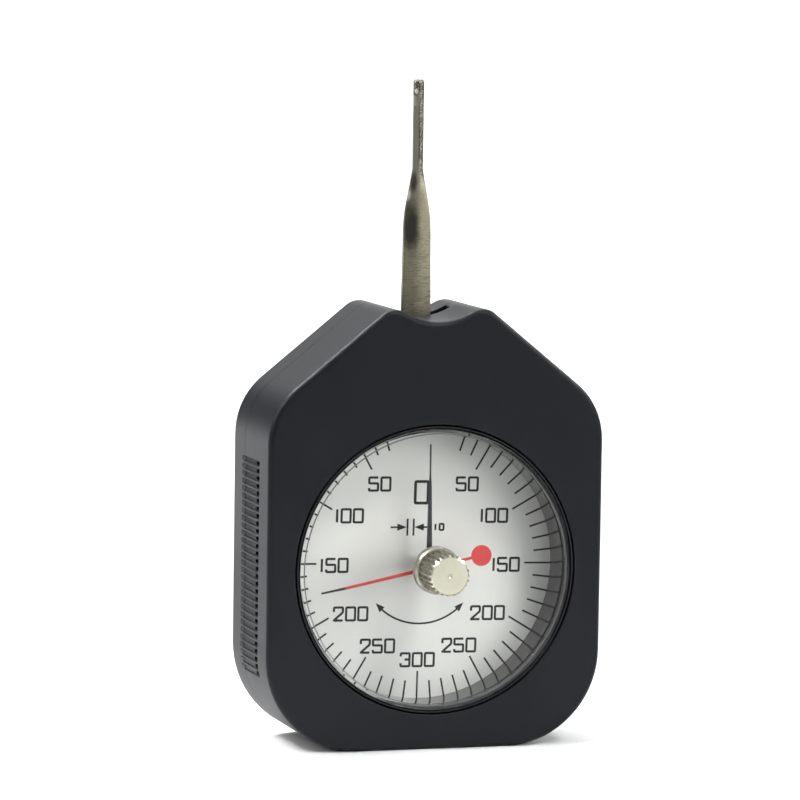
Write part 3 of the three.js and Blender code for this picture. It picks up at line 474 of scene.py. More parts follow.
plastic = Finish("satin_black_plastic", specular_ior_level=0.205)
clouds = plastic.noise(14, 3)
grain = plastic.noise(0.11, 2)
dust = plastic.step(plastic.noise(0.55, 4), 0.735, 0.77) * plastic.step(plastic.noise(4, 2), 0.5, 0.62)
plastic.surface({
    "Base Color": plastic.mix(dust, plastic.mix(clouds, *plastic_colours), dust_colour),
    "Roughness": 0.36 + 0.08 * clouds + 0.06 * grain + 0.2 * dust,
    "Normal": plastic.bump(grain, 0.004),
})

front_end = parting_depth - parting_gap / 2
shell = rounded_rim(case_prism(0, 0, front_end), 0)
shell = cut(shell, case_prism(wall, wall, front_end + overrun))
for x, z in boss_places:
    shell = joined(shell, bar(boss_radius, wall / 2, ledge_back, x, z))
shell = joined(shell, bar(well_radius, wall / 2, ledge_back, 0, dial_centre.z, dial_steps))
mouth_turns = [i * pi / 2 / mouth_steps for i in range(mouth_steps + 1)]
mouth = [
    (opening_radius + mouth_radius * (1 - sin(turn)), mouth_radius * (1 - cos(turn))) for turn in mouth_turns
]
opening = [
    (0, -overrun), (opening_radius + mouth_radius, -overrun), *mouth, (opening_radius, ledge_depth),
    (0, ledge_depth),
]
shell = cut(shell, turned(opening, dial_centre, dial_steps))
shell = cut(shell, bar(
    ledge_radius, ledge_depth - overrun, ledge_back + overrun, 0, dial_centre.z, dial_steps))
for x, z in boss_places:
    shell = cut(shell, bar(boss_bore, boss_bore_front, ledge_back + overrun, x, z))
shell = cut(shell, block(
    (-slot_half_width, slot_depth, saddle_height - slot_drop),
    (slot_half_width, parting_depth, saddle_height + slot_rise)))
shell = cut(shell, along_grips(groove_cutter), along_grips(pocket_cutter))
finished("front_shell_moulding", shell, "casing", plastic, ["front_shell"])


# Rear cover: the same black plastic. It closes the back behind the parting line, with a lip inside the shell
# and four deep holes for the screws.
lip_front = 14.6
lip_root = 1
lip_room = 0.3
lip_thickness = 0.9
lip_slot_drop = 6
rear_wall_depth = 22
rear_boss_front = 13.4
rear_bore_front = 12
screw_seat_depth = 22.2
screw_seat_radius = 2.6
screw_seat_edge = 0.15
small_steps = 48

cover_start = parting_depth + parting_gap / 2
cover = rounded_rim(case_prism(0, cover_start, case_depth), case_depth)
cover = cut(cover, case_prism(wall, cover_start - overrun, rear_wall_depth))
for lip_inset, lip_start in ((wall + lip_room, lip_front), (wall - lip_room, cover_start)):
    lip = cut(
        case_prism(lip_inset, lip_start, cover_start + lip_root),
        case_prism(wall + lip_room + lip_thickness, lip_front - overrun, cover_start + 2 * lip_root))
    cover = joined(cover, lip)
for x, z in boss_places:
    cover = joined(cover, bar(boss_radius, rear_boss_front, rear_wall_depth + wall / 2, x, z))
    cover = cut(cover, bar(boss_bore, rear_bore_front, case_depth + overrun, x, z))
    seat = [
        (0, screw_seat_depth), (screw_seat_radius, screw_seat_depth),
        (screw_seat_radius, case_depth - screw_seat_edge), (screw_seat_radius + screw_seat_edge, case_depth),
        (screw_seat_radius + screw_seat_edge, case_depth + overrun), (0, case_depth + overrun),
    ]
    cover = cut(cover, turned(seat, Vector((x, 0, z)), small_steps))
cover = cut(cover, block(
    (-slot_half_width - lip_room, lip_front - overrun, saddle_height - lip_slot_drop),
    (slot_half_width + lip_room, cover_start + lip_root, saddle_height - wall)))
cover = cut(cover, along_grips(groove_cutter))
finished("rear_cover_moulding", cover, "casing", plastic, ["rear_cover"])


# Case screws: four slotted steel screws, dull and a little scratched. They are sunk into the rear cover and
# hold it to the bosses of the front shell.
screw_head_radius = 2.3
screw_head_depth = 22.5
screw_head_height = 1.2
screw_head_edge = 0.3
screw_head_bend = 0.09
screw_radius = 1.1
screw_tip_depth = 4.5
screw_slot_width = 0.5
screw_slot_half_length = 3
screw_slot_turn = radians(37)
screw_colours = (0.16, 0.16, 0.165, 1), (0.3, 0.3, 0.305, 1)


def grained(name, grain, colours, roughness, relief, cloud=None, **fixed):
    """A finish between two colours. Its grain roughens and raises it, and colours it unless a cloud does.

    Grain and cloud are what noise() takes. Roughness is the least of it, and what the grain adds.
    """
    finish = Finish(name, **fixed)
    grain = finish.noise(*grain)
    finish.surface({
        "Base Color": finish.mix(finish.noise(*cloud) if cloud else grain, *colours),
        "Roughness": roughness[0] + roughness[1] * grain,
        "Normal": finish.bump(grain, relief),
    })
    return finish


screw_steel = grained(
    "dull_screw_steel", (0.5, 4, (1, 1, 6), (0, 0.6, 0)), screw_colours, (0.3, 0.3), 0.01, metallic=1)
for number, (x, z) in enumerate(boss_places, 1):
    top = screw_head_depth + screw_head_height
    screw = turned([
        (0, screw_tip_depth), (screw_radius, screw_tip_depth), (screw_radius, screw_head_depth),
        (screw_head_radius, screw_head_depth), (screw_head_radius, top - screw_head_edge),
        (screw_head_radius - screw_head_bend, top - screw_head_bend),
        (screw_head_radius - screw_head_edge, top), (0, top),
    ], Vector((x, 0, z)), small_steps)
    blade_cut = block(
        (-screw_slot_half_length, top - screw_slot_width, -screw_slot_width / 2),
        (screw_slot_half_length, top + overrun, screw_slot_width / 2))
    bmesh.ops.rotate(
        blade_cut, verts=blade_cut.verts, cent=(0, 0, 0),
        matrix=Matrix.Rotation(screw_slot_turn * number, 3, "Y"))
    bmesh.ops.translate(blade_cut, verts=blade_cut.verts, vec=(x, 0, z))
    screw = cut(screw, blade_cut)
    finished(f"slotted_screw_{number}", screw, "casing", screw_steel, [f"case_screw_{number}"])


# Bezel ring: a thin turned ring, matt black all over. It goes round with the dial and closes the gap between
# the crystal and the casing.
ring_outer = 25.6
ring_inner = 25.35
ring_front = 0.05
ring_back = 10.3
ring_edge = 0.06
ring_colours = (0.008, 0.008, 0.009, 1), (0.02, 0.02, 0.022, 1)

ring_black = grained("matt_black_ring", (0.2, 2), ring_colours, (0.4, 0.15), 0.004, specular_ior_level=0.2)
bezel = turned([
    (ring_inner, ring_front + ring_edge), (ring_inner + ring_edge, ring_front),
    (ring_outer - ring_edge, ring_front), (ring_outer, ring_front + ring_edge), (ring_outer, ring_back),
    (ring_inner, ring_back),
], dial_centre, dial_steps)
finished("bezel_ring_band", bezel, "dial_unit", ring_black, ["bezel_ring"])


# Crystal: a cup turned from clear plastic, with a raised rim, a flat face and a deep wall that mirrors the
# dial. It is set in the bezel ring. Its wall is blackened outside. The inner edge of its rim is a little
# rougher, and a thin ring there is coloured light grey and a little metallic as a painted highlight. The
# lamps shine through it onto the dial.
crystal_radius = 25.05
crystal_wall = 24.35
crystal_rim = 24.2
crystal_front = 0.1
crystal_face = 0.9
crystal_under = 2.9
crystal_end = 9.5
crystal_hole = 1.3
rim_inner_edge = 0.05
rim_outer_edge = 0.12
rim_outer_bend = 0.035
rim_highlight_width = 0.22
rim_highlight_fade = 0.12
clear_colours = (0.97, 0.975, 0.97, 1), (0.985, 0.99, 0.985, 1)
rim_highlight_colour = (0.49, 0.5, 0.52, 1)

clear = Finish("clear_plastic", transmission_weight=1, ior=1.35)
smears = clear.noise(5, 3)
from_centre = clear.reach(dial_centre, (1, 0, 1))
from_front = clear.reach((0, case_front, 0), (0, 1, 0))
past_face = clear.step(from_centre, crystal_rim - rim_inner_edge, crystal_rim)
past_rim_highlight = clear.step(from_centre, crystal_rim + rim_highlight_width, crystal_rim + rim_highlight_width + rim_highlight_fade)
under_rim = clear.step(from_front, crystal_face, crystal_face + rim_highlight_fade)
# A thin ring at the inner edge of the rim, coloured light grey and a little metallic: a painted highlight.
painted_rim_highlight = past_face * (1 - past_rim_highlight) * (1 - under_rim)
clear.surface({
    "Base Color": clear.mix(painted_rim_highlight, clear.mix(smears, *clear_colours), rim_highlight_colour),
    "Metallic": 0.25 * painted_rim_highlight,
    "Roughness": 0.004 + 0.012 * smears + 0.2 * painted_rim_highlight,
})
lamp_ray = clear.node("ShaderNodeLightPath", output="Is Shadow Ray")
through = clear.node("ShaderNodeBsdfTransparent")
seen = Wire(clear, clear.shader.outputs[0])
both = clear.node("ShaderNodeMixShader", {}, {0: lamp_ray, 1: seen, 2: through})
clear.feed(clear.tree.nodes["Material Output"], {"Surface": both})

cup = turned([
    (crystal_hole, crystal_face), (crystal_rim, crystal_face), (crystal_rim, crystal_front + rim_inner_edge),
    (crystal_rim + rim_inner_edge, crystal_front), (crystal_radius - rim_outer_edge, crystal_front),
    (crystal_radius - rim_outer_bend, crystal_front + rim_outer_bend),
    (crystal_radius, crystal_front + rim_outer_edge), (crystal_radius, crystal_end),
    (crystal_wall, crystal_end), (crystal_wall, crystal_under), (crystal_hole, crystal_under),
], dial_centre, dial_steps)
for face in cup.faces:
    outwards = (face.calc_center_median() - dial_centre) * Vector((1, 0, 1))
    if outwards.length > (crystal_wall + crystal_radius) / 2 and abs(face.normal.y) < near:
        face.material_index = 1
crystal_cup = finished("crystal_cup", cup, "dial_unit", clear, ["crystal"])
crystal_cup.data.materials.append(ring_black.material)


# Dial plate: thin aluminium with a fine silver grain, held under the crystal. The whole dial stands turned a
# little clockwise, and its print turns with it.
dial_radius = 25.05
dial_hole = 1.15
dial_front = 9.8
dial_back = 10.3
dial_turn = radians(1.12)
silver_colours = (0.61, 0.615, 0.58, 1), (0.78, 0.785, 0.74, 1)

silver = Finish("silver_dial", specular_ior_level=0.5)
silver_grain = silver.noise(0.12, 2)
silver_cloud = silver.noise(9, 2)
silver.surface({
    "Base Color": silver.mix(0.6 * silver_grain + 0.4 * silver_cloud, *silver_colours),
    "Metallic": 0.25 + 0.2 * silver_grain,
    "Roughness": 0.38 + 0.16 * silver_grain,
    "Normal": silver.bump(silver_grain, 0.003),
})
disc = turned([
    (dial_hole, dial_front), (dial_radius, dial_front), (dial_radius, dial_back), (dial_hole, dial_back),
], dial_centre, dial_steps)
finished("dial_disc", disc, "dial_unit", silver, ["dial_plate"])


# Dial print: black ink. A scale of 300 each way from the top, in tens, with plain squared figures, the mark
# for what one division is worth, and an arc with two heads, because the scale reads both ways.
ink_width = 0.42
ink_height = 0.02
figure_height = 2.76
figure_width = 2.08
figure_gap = 0.2
figure_bend_share = 0.4
slim_gap = 0.42
tick_width = 0.33
tick_turn = radians(6)
first_tick = 3
last_tick = 30
ticks_per_major = 5
minor_tick = 21.3
major_tick = 19.5
tick_end = 24.6
bar_width = 0.34
bar_places = (-2.75, -1.6)
bar_bottom = 5.0
bar_top = 8.05
arrow_width = 0.32
head_length = 1.75
head_width = 1.3
sweep_radius = 10.9
sweep_half = radians(40)
sweep_steps = 24
scale_figures = {
    "50": (8.2, 14.3), "100": (13.55, 8.6), "150": (16.1, -0.3), "200": (12.85, -9.05), "250": (7.65, -14.9),
}
last_figure = ("300", -0.1, -17.45)
zero_figure = {"text": "0", "x": -0.3, "z": 12.8, "height": 4.4, "width": 2.9, "line": 0.52}
division_figure = {"text": "10", "x": 3.25, "z": 6.55, "height": 1.45, "width": 1.1, "line": 0.36}
division_arrows = [((-2.9, 6.53), pi / 2, 3), ((-1.45, 6.53), -pi / 2, 2.8)]
ink_colours = (0.002, 0.0022, 0.0025, 1), (0.006, 0.0062, 0.0065, 1)
figure_strokes = {
    "0": [[(0, 0), (1, 0), (1, 1), (0, 1), (0, 0)]],
    "1": [[(0, 0), (0, 1)]],
    "2": [[(0, 0.66), (0, 1), (1, 1), (1, 0.62), (0.0, 0), (1, 0)]],
    "3": [[(0, 0.76), (0, 1), (1, 1), (1, 0), (0, 0), (0, 0.24)], [(0.45, 0.52), (1, 0.52)]],
    "5": [[(1, 1), (0, 1), (0, 0.55), (1, 0.55), (1, 0), (0, 0), (0, 0.2)]],
}


def stroke(mesh, points, width, soften=0):
    """One inked line through points on the dial, given from its centre"""
    closed = points[0] == points[-1]
    line = bmesh.new()
    places = points[:-1] if closed else points
    verts = [line.verts.new((x, 0, z)) for x, z in places]
    for pair in zip(verts, verts[1:] + (verts[:1] if closed else [])):
        line.edges.new(pair)
    bends = [v for v in verts if len(v.link_edges) == 2]
    if soften and bends:
        bevelled(line, bends, soften, 2, "VERTICES")
    grown = bmesh.ops.extrude_edge_only(line, edges=line.edges)["geom"]
    bmesh.ops.translate(line, vec=(0, -ink_height, 0), verts=verts_of(grown))
    bmesh.ops.recalc_face_normals(line, faces=line.faces)
    shape = bpy.data.objects.new("line", bpy.data.meshes.new("line"))
    line.to_mesh(shape.data)
    line.free()
    bpy.context.scene.collection.objects.link(shape)
    thick = shape.modifiers.new("thick", "SOLIDIFY")
    thick.thickness = width
    thick.offset = 0
    thick.use_even_offset = True
    done = bmesh.new()
    done.from_object(shape, bpy.context.evaluated_depsgraph_get())
    bpy.data.meshes.remove(shape.data)
    loose = bpy.data.meshes.new("loose")
    done.to_mesh(loose)
    done.free()
    mesh.from_mesh(loose)
    bpy.data.meshes.remove(loose)


def figures(mesh, text, x, z, height=figure_height, width=figure_width, line=ink_width):
    """A number, centred on a place on the dial"""
    steps = [line if sign == "1" else width for sign in text]
    gaps = [slim_gap if sign == "1" else figure_gap for sign in text]
    left = x - (sum(steps) + sum(gaps[:-1])) / 2
    for sign, step, gap in zip(text, steps, gaps):
        for path in figure_strokes[sign]:
            points = [
                (left + line / 2 + u * (width - line), z - height / 2 + line / 2 + v * (height - line))
                for u, v in path
            ]
            stroke(mesh, points, line, line * figure_bend_share)
        left += step + gap


def placed_on_dial(mesh):
    """Puts flat print on the dial's face and turns it with the dial"""
    bmesh.ops.rotate(mesh, verts=mesh.verts, cent=(0, 0, 0), matrix=Matrix.Rotation(dial_turn, 3, "Y"))
    bmesh.ops.translate(mesh, verts=mesh.verts, vec=(0, case_front + dial_front, dial_centre.z))
    return mesh


ink = Finish("black_dial_ink", specular_ior_level=0.08)
ink_cloud = ink.noise(0.6, 3)
ink.surface({"Base Color": ink.mix(ink_cloud, *ink_colours), "Roughness": 0.5 + 0.2 * ink_cloud})

numbers = bmesh.new()
for text, (x, z) in scale_figures.items():
    figures(numbers, text, x, z)
    figures(numbers, text, -x, z)
figures(numbers, *last_figure)
figures(numbers, **zero_figure)
finished("dial_numbers", placed_on_dial(numbers), "dial_unit", ink, weighted=False)

ticks = bmesh.new()
for count in range(first_tick, last_tick + 1):
    for side in (-1, 1) if count < last_tick else (1,):
        turn = side * count * tick_turn
        start = minor_tick if count % ticks_per_major else major_tick
        stroke(ticks, [(reach * sin(turn), reach * cos(turn)) for reach in (start, tick_end)], tick_width)
finished("dial_ticks", placed_on_dial(ticks), "dial_unit", ink, weighted=False)


def arrow(mesh, tip, towards, length):
    """A thick line that ends in an arrowhead. Towards is the way that it points, from the dial's upright"""
    ahead = Vector((sin(towards), 0, cos(towards)))
    aside = Vector((cos(towards), 0, -sin(towards)))
    tip = Vector((tip[0], 0, tip[1]))
    neck = tip - ahead * head_length
    tail = tip - ahead * length
    shoulder = aside * head_width / 2
    head = [mesh.verts.new(place) for place in (tip, neck + shoulder, neck - shoulder)]
    extruded(mesh, mesh.faces.new(head), ink_height, 0)
    if length > head_length:
        stroke(mesh, [(tail.x, tail.z), (neck.x, neck.z)], arrow_width)


division = bmesh.new()
for x in bar_places:
    stroke(division, [(x, bar_bottom), (x, bar_top)], bar_width)
for tip, towards, length in division_arrows:
    arrow(division, tip, towards, length)
figures(division, **division_figure)
bmesh.ops.recalc_face_normals(division, faces=division.faces)
finished("division_mark", placed_on_dial(division), "dial_unit", ink, weighted=False)

sweep = bmesh.new()
turns = [pi - sweep_half + 2 * sweep_half * i / sweep_steps for i in range(sweep_steps + 1)]
stroke(sweep, [(sweep_radius * sin(turn), sweep_radius * cos(turn)) for turn in turns], bar_width)
for end, way in ((turns[0], -1), (turns[-1], 1)):
    beyond = end + way * head_length / sweep_radius
    tip = (sweep_radius * sin(beyond), sweep_radius * cos(beyond))
    arrow(sweep, tip, (end + beyond) / 2 + way * pi / 2, head_length)
bmesh.ops.recalc_face_normals(sweep, faces=sweep.faces)
finished("sweep_mark", placed_on_dial(sweep), "dial_unit", ink, weighted=False)


# Black pointer: stamped from thin sheet and painted matt black, with a slender tip and a short tail. A
# dark brass hub behind it is pressed on the arbor.
pointer_front = 4.8
pointer_back = 5.1
pointer_side = [(0.515, -3.2), (0.515, 2.2), (0.26, 14.52), (0.12, 16.7), (0.12, 22.0)]
pointer_disc = 2.2
stamped_edge = 0.05
arbor_room = 1.05
hub_radius = 1.9
hub_front = 5.4
hub_back = 8.0
hub_edge = 0.15
round_steps = 64
dark_hub_colours = (0.05, 0.045, 0.035, 1), (0.13, 0.115, 0.085, 1)
black_paint_colours = (0.005, 0.005, 0.006, 1), (0.016, 0.016, 0.017, 1)


def cut_out(side, start, end):
    """A stamped flat shape with slightly rounded edges, mirrored from the right side that is given"""
    mesh = bmesh.new()
    points = side + [(-x, z) for x, z in reversed(side)]
    face = mesh.faces.new([mesh.verts.new((x, case_front + start, z)) for x, z in points])
    extruded(mesh, face, start, end)
    return bevelled(mesh, mesh.edges[:], stamped_edge, 2)


def disc_of(radius, start, end, centre, hole=0, edge=stamped_edge, steps=round_steps):
    """A round disc with narrow chamfers, whole or with a hole"""
    return turned([
        (hole, start), (radius - edge, start), (radius, start + edge), (radius, end - edge),
        (radius - edge, end), (hole, end),
    ], centre, steps)


black_paint = grained(
    "matt_black_paint", (0.15, 2), black_paint_colours, (0.4, 0.2), 0.003, specular_ior_level=0.3)
needle = joined(
    cut_out(pointer_side, pointer_front, pointer_back),
    disc_of(pointer_disc, pointer_front, pointer_back, Vector()))
needle = cut(needle, bar(arbor_room, pointer_front - overrun, pointer_back + overrun, 0, 0))
bmesh.ops.translate(needle, vec=dial_centre, verts=needle.verts)
finished("black_needle", needle, "pointer", black_paint, ["force_pointer"])

dull_brass = grained("darkened_brass", (0.8, 3), dark_hub_colours, (0.45, 0.2), 0.004, metallic=1)
hub = disc_of(hub_radius, hub_front, hub_back, dial_centre, arbor_room, hub_edge)
finished("brass_pointer_hub", hub, "pointer", dull_brass, ["pointer_hub"])


# Red pointer: painted matt red, with a round counterweight on a thin neck. Its end is bent towards the dial
# and is black. It is fixed to the knob's spindle and stays where it was left.
red_front = 3.6
red_back = 3.9
red_turn = radians(-101.8)
red_bend = 16.2
red_bend_length = 0.3
red_length = 20.5
red_drop = 0.6
red_root_half = 0.34
red_bend_half = 0.23
red_tip_half = 0.15
red_neck_half = 0.25
red_disc = 2.2
counterweight_reach = 9.6
counterweight_radius = 1.88
spindle_room = 1.3
red_colours = (0.41, 0.021, 0.018, 1), (0.51, 0.031, 0.026, 1)

red_paint = grained("matt_red_paint", (0.5, 3), red_colours, (0.45, 0.15), 0.003, specular_ior_level=0.4)
arm = cut_out(
    [(red_root_half, 0), (red_bend_half, red_bend), (red_tip_half, red_length)], red_front, red_back)
for cut_reach in (red_bend, red_bend + red_bend_length):
    bmesh.ops.bisect_plane(
        arm, geom=arm.verts[:] + arm.edges[:] + arm.faces[:], plane_co=(0, 0, cut_reach), plane_no=(0, 0, 1),
        dist=hairline)
for vert in arm.verts:
    vert.co.y += red_drop * max(0, vert.co.z - red_bend) / (red_length - red_bend)
arm = joined(
    arm, cut_out([(red_neck_half, -counterweight_reach), (red_neck_half, 0)], red_front, red_back),
    disc_of(red_disc, red_front, red_back, Vector()),
    disc_of(counterweight_radius, red_front, red_back, Vector((0, 0, -counterweight_reach))))
arm = cut(arm, bar(spindle_room, red_front - overrun, red_back + overrun, 0, 0))
for face in arm.faces:
    face.material_index = 1 if min(v.co.z for v in face.verts) > red_bend - near else 0
bmesh.ops.rotate(arm, verts=arm.verts, cent=(0, 0, 0), matrix=Matrix.Rotation(red_turn, 3, "Y"))
bmesh.ops.translate(arm, vec=dial_centre, verts=arm.verts)
peak_arm = finished("red_peak_pointer", arm, "peak_pointer", red_paint, ["drag_pointer"])
peak_arm.data.materials.append(black_paint.material)


# Reset knob: bright nickel on brass, with a coarse straight knurl, a small centre dimple and a smooth collar.
# It is pressed on a steel spindle that a washer holds behind the crystal.
knob_front = -8.2
collar_front = -1.4
collar_back = 0.6
knob_radius = 3.72
knurl_depth = 0.36
knob_chamfer = 0.48
knob_teeth = 24
tooth_bend = 0.06
chamfer_spare = 0.05
chamfer_steps = 104
neck_length = 0.35
neck_overlap = 0.5
neck_radius = 3.2
collar_radius = 4.25
collar_shoulder = 0.35
collar_edge = 0.1
collar_steps = 96
knob_bore_front = -4.3
dimple_radius = 0.4
dimple_depth = 0.2
dimple_bend_share = 0.6
dimple_steps = 24
spindle_radius = 1
spindle_half = 4
washer_radius = 2.2
washer_front = 3.1
washer_back = 3.4
turned_edge = 0.1
nickel_colours = (0.66, 0.64, 0.51, 1), (0.86, 0.845, 0.68, 1)
painted_shade_colours = (0.22, 0.205, 0.165, 1), (0.62, 0.59, 0.50, 1)

nickel = Finish("bright_nickel", metallic=1)
nickel_cloud = nickel.noise(1.6, 3)
nickel_grain = nickel.noise(0.18, 3)
nickel_mottle = 0.5 * nickel_cloud + 0.5 * nickel_grain
from_face = nickel.reach((0, case_front + knob_front, 0), (0, 1, 0))
behind_face = nickel.step(from_face, 0.4, 0.6)
front_teeth = 1 - nickel.step(from_face, 0.6, 1.3)
tooth_tips = nickel.step(nickel.reach(dial_centre, (1, 0, 1)), knob_radius - 0.22, knob_radius - 0.04)
dimple_darkening = 1 - nickel.step(nickel.reach(dial_centre, (dimple_radius, 0, dimple_radius)), 0.7, 1.2)
# Painted shade and highlight: the flank and collar behind the face are coloured darker as shade, the tooth
# crests less so, and the crests at the front chamfer lighter still as a painted highlight. The centre dimple
# is darker too.
painted_shade_and_dark_dimple = behind_face * (1 - (0.15 + 0.6 * front_teeth) * tooth_tips) + 0.6 * dimple_darkening * (1 - behind_face)
nickel_colour = nickel.mix(nickel_mottle, *nickel_colours)
painted_shade_colour = nickel.mix(nickel.step(nickel_mottle, 0.35, 0.65), *painted_shade_colours)
nickel.surface({
    "Base Color": nickel.mix(painted_shade_and_dark_dimple, nickel_colour, painted_shade_colour),
    "Roughness": 0.24 + 0.16 * nickel_grain + 0.1 * painted_shade_and_dark_dimple,
    "Normal": nickel.bump(nickel_grain, 0.005),
})
knurl = bmesh.new()
tooth_turn = 2 * pi / knob_teeth
tooth_shape = [
    (knob_radius - knurl_depth, -0.5), (knob_radius - knurl_depth, -0.3), (knob_radius - tooth_bend, -0.15),
    (knob_radius, -0.05), (knob_radius, 0.05), (knob_radius - tooth_bend, 0.15),
    (knob_radius - knurl_depth, 0.3), (knob_radius - knurl_depth, 0.5),
]
tooth = [
    knurl.verts.new((r * sin(share * tooth_turn), case_front + knob_front, r * cos(share * tooth_turn)))
    for r, share in tooth_shape
]
tooth_edges = [knurl.edges.new(pair) for pair in zip(tooth, tooth[1:])]
bmesh.ops.spin(
    knurl, geom=tooth + tooth_edges, cent=(0, 0, 0), axis=(0, 1, 0), angle=2 * pi, steps=knob_teeth,
    use_duplicate=True)
bmesh.ops.remove_doubles(knurl, verts=knurl.verts, dist=near)
outline = bmesh.ops.contextual_create(knurl, geom=knurl.edges[:])["faces"][0]
extruded(knurl, outline, knob_front, collar_front - neck_length)
chamfer = turned([
    (0, knob_front), (knob_radius - knob_chamfer, knob_front),
    (knob_radius + chamfer_spare, knob_front + knob_chamfer + chamfer_spare),
    (knob_radius + chamfer_spare, collar_front + overrun), (0, collar_front + overrun),
], Vector(), chamfer_steps)
knob = combine(knurl, "INTERSECT", chamfer)
neck_front = collar_front - neck_length - neck_overlap
collar = turned([
    (0, neck_front), (neck_radius, neck_front), (neck_radius, collar_front),
    (collar_radius - collar_shoulder, collar_front), (collar_radius, collar_front + collar_shoulder),
    (collar_radius, collar_back - collar_edge), (collar_radius - collar_edge, collar_back), (0, collar_back),
], Vector(), collar_steps)
knob = joined(knob, collar)
knob = cut(knob, bar(spindle_room, knob_bore_front, collar_back + overrun, 0, 0))
dimple = turned([
    (0, knob_front + dimple_depth),
    (dimple_radius * dimple_bend_share, knob_front + dimple_depth * dimple_bend_share),
    (dimple_radius, knob_front), (dimple_radius, knob_front - overrun), (0, knob_front - overrun),
], Vector(), dimple_steps)
knob = cut(knob, dimple)
bmesh.ops.translate(knob, vec=dial_centre, verts=knob.verts)
finished("knurled_reset_knob", knob, "peak_pointer", nickel, ["reset_knob"], crease=25)

steel_colours = (0.30, 0.30, 0.30, 1), (0.55, 0.55, 0.54, 1)
turned_steel = grained(
    "turned_steel", (0.2, 2, (1, 8, 1)), steel_colours, (0.2, 0.25), 0.003, (1, 3), metallic=1)
spindle = disc_of(spindle_radius, -spindle_half, spindle_half, dial_centre, 0, turned_edge, small_steps)
finished("steel_knob_spindle", spindle, "peak_pointer", turned_steel, ["knob_spindle"])
washer = disc_of(washer_radius, washer_front, washer_back, dial_centre, spindle_room, turned_edge)
finished("steel_spindle_washer", washer, "peak_pointer", turned_steel, ["spindle_washer"])


# Feeler lever: one piece of brushed spring steel. A flat blade on the pivot narrows through a smooth shoulder
# to a thin rod, ground flat on one side, with a round end.
lever_middle = 2.8
pivot_height = 64.2
blade_thickness = 1.2
blade_half = 2.7
blade_corner = 0.15
blade_step = 0.85
blade_stations = [(80, 0.99), (84.6, 0.957), (90, 0.935), (91.6, 0.925)]
shoulder_cuts = 16
rod_start = 102.6
rod_radius = 0.975
lever_top = 118.6
tip_bend = 0.5
tip_steps = 4
flat_start = 104.6
flat_end = 115.9
flat_half_width = 2
flat_run_in = 20
flat_run_out = 2
flat_turn = radians(-38)
flat_depth = 0.2
tail_drop = 10
tail_rise = 0.5
eye_radius = 5
eye_bore = 2.9
rivet_bore = 0.9
rivet_drops = (6.2, 8.6)
shaded_left_colour = (0.22, 0.205, 0.148, 1)
lit_right_colour = (0.45, 0.415, 0.30, 1)
lever_rod = (0.38, 0.375, 0.31, 1)
lever_brush = (0.10, 0.094, 0.074, 1)
shade_and_pit_colour = (0.030, 0.028, 0.026, 1)
highlight_and_spark_colour = (0.85, 0.81, 0.70, 1)

brushed = Finish("brushed_lever_steel", metallic=1)
brush = brushed.noise(0.9, 3, (0.8, 1, 6))
speckle = brushed.noise(0.24, 3)
lever_cloud = brushed.noise(2.4, 2)
across = brushed.node("ShaderNodeSeparateXYZ", {}, {0: brushed.place}, output="X")
up_lever = brushed.node("ShaderNodeSeparateXYZ", {}, {0: brushed.place}, output="Z")
painted_lit_right = brushed.step(across + 2 * mm * lever_cloud, 0.2 * mm, 2.2 * mm)
on_rod = brushed.step(up_lever, 99.5 * mm, 102.5 * mm)
near_tip = brushed.step(up_lever, 115.4 * mm, 116 * mm)
marks = brushed.step(brush, 0.54, 0.64) * (0.3 + 0.7 * (1 - brushed.step(up_lever, 88 * mm, 93 * mm)))
# A painted dark reflection: a dark patch on the left of the blade.
painted_dark_reflection = 1 - brushed.step(brushed.reach((-1.2, 0, 92), (1.6, 0, 4.8)) + 0.6 * lever_cloud, 0.75, 1.6)
# Darker towards the neck, and along a broken line on the rod.
neck_darkening = 1 - brushed.step(brushed.reach((-0.9, 0, 100.4), (0.6, 0, 2)), 0.4, 1.3)
rough_side = on_rod * brushed.step(across + 0.4 * mm * speckle, 0.1 * mm, 0.3 * mm)
rough = rough_side + (1 - rough_side) * near_tip
ridge = 1 - brushed.step(brushed.reach((-0.02, 0, 109.5), (0.15, 0, 7)), 0.6, 1.15)
broken_ridge_line = ridge * brushed.step(speckle, 0.3, 0.45)
pits = rough * (1 - brushed.step(speckle, 0.5, 0.6))
sparks = rough * brushed.step(speckle, 0.6, 0.66)
# Painted highlights: a light spot on the left of the shoulder and a small one near the tip.
painted_shoulder_highlight = 1 - brushed.step(brushed.reach((-2.0, 0, 98), (0.75, 0, 1.2)), 0.3, 1.2)
painted_tip_highlight = 1 - brushed.step(brushed.reach((-0.58, 0, 116.5), (0.3, 0, 0.55)), 0.7, 1.1)
# Painted light: the left of the lever is coloured darker and its right lighter, standing in for the
# reflections on it; the left of the rod takes a middle tone.
lever_colour = brushed.mix(0.85 * painted_lit_right + 0.9 * (speckle - 0.5), shaded_left_colour, lit_right_colour)
lever_colour = brushed.mix(0.6 * on_rod * (1 - rough_side), lever_colour, lever_rod)
lever_colour = brushed.mix(0.6 * marks, lever_colour, lever_brush)
lever_colour = brushed.mix(0.92 * painted_dark_reflection, lever_colour, shade_and_pit_colour)
lever_colour = brushed.mix(0.7 * neck_darkening + 0.7 * broken_ridge_line + 0.7 * pits, lever_colour, shade_and_pit_colour)
brushed.surface({
    "Base Color": brushed.mix(0.7 * painted_shoulder_highlight + 0.8 * sparks + painted_tip_highlight, lever_colour, highlight_and_spark_colour),
    "Roughness": 0.3 + 0.16 * brush,
    "Normal": brushed.bump(0.6 * brush + 0.4 * speckle + 0.8 * (pits - sparks), 0.008),
})
lever = bmesh.new()
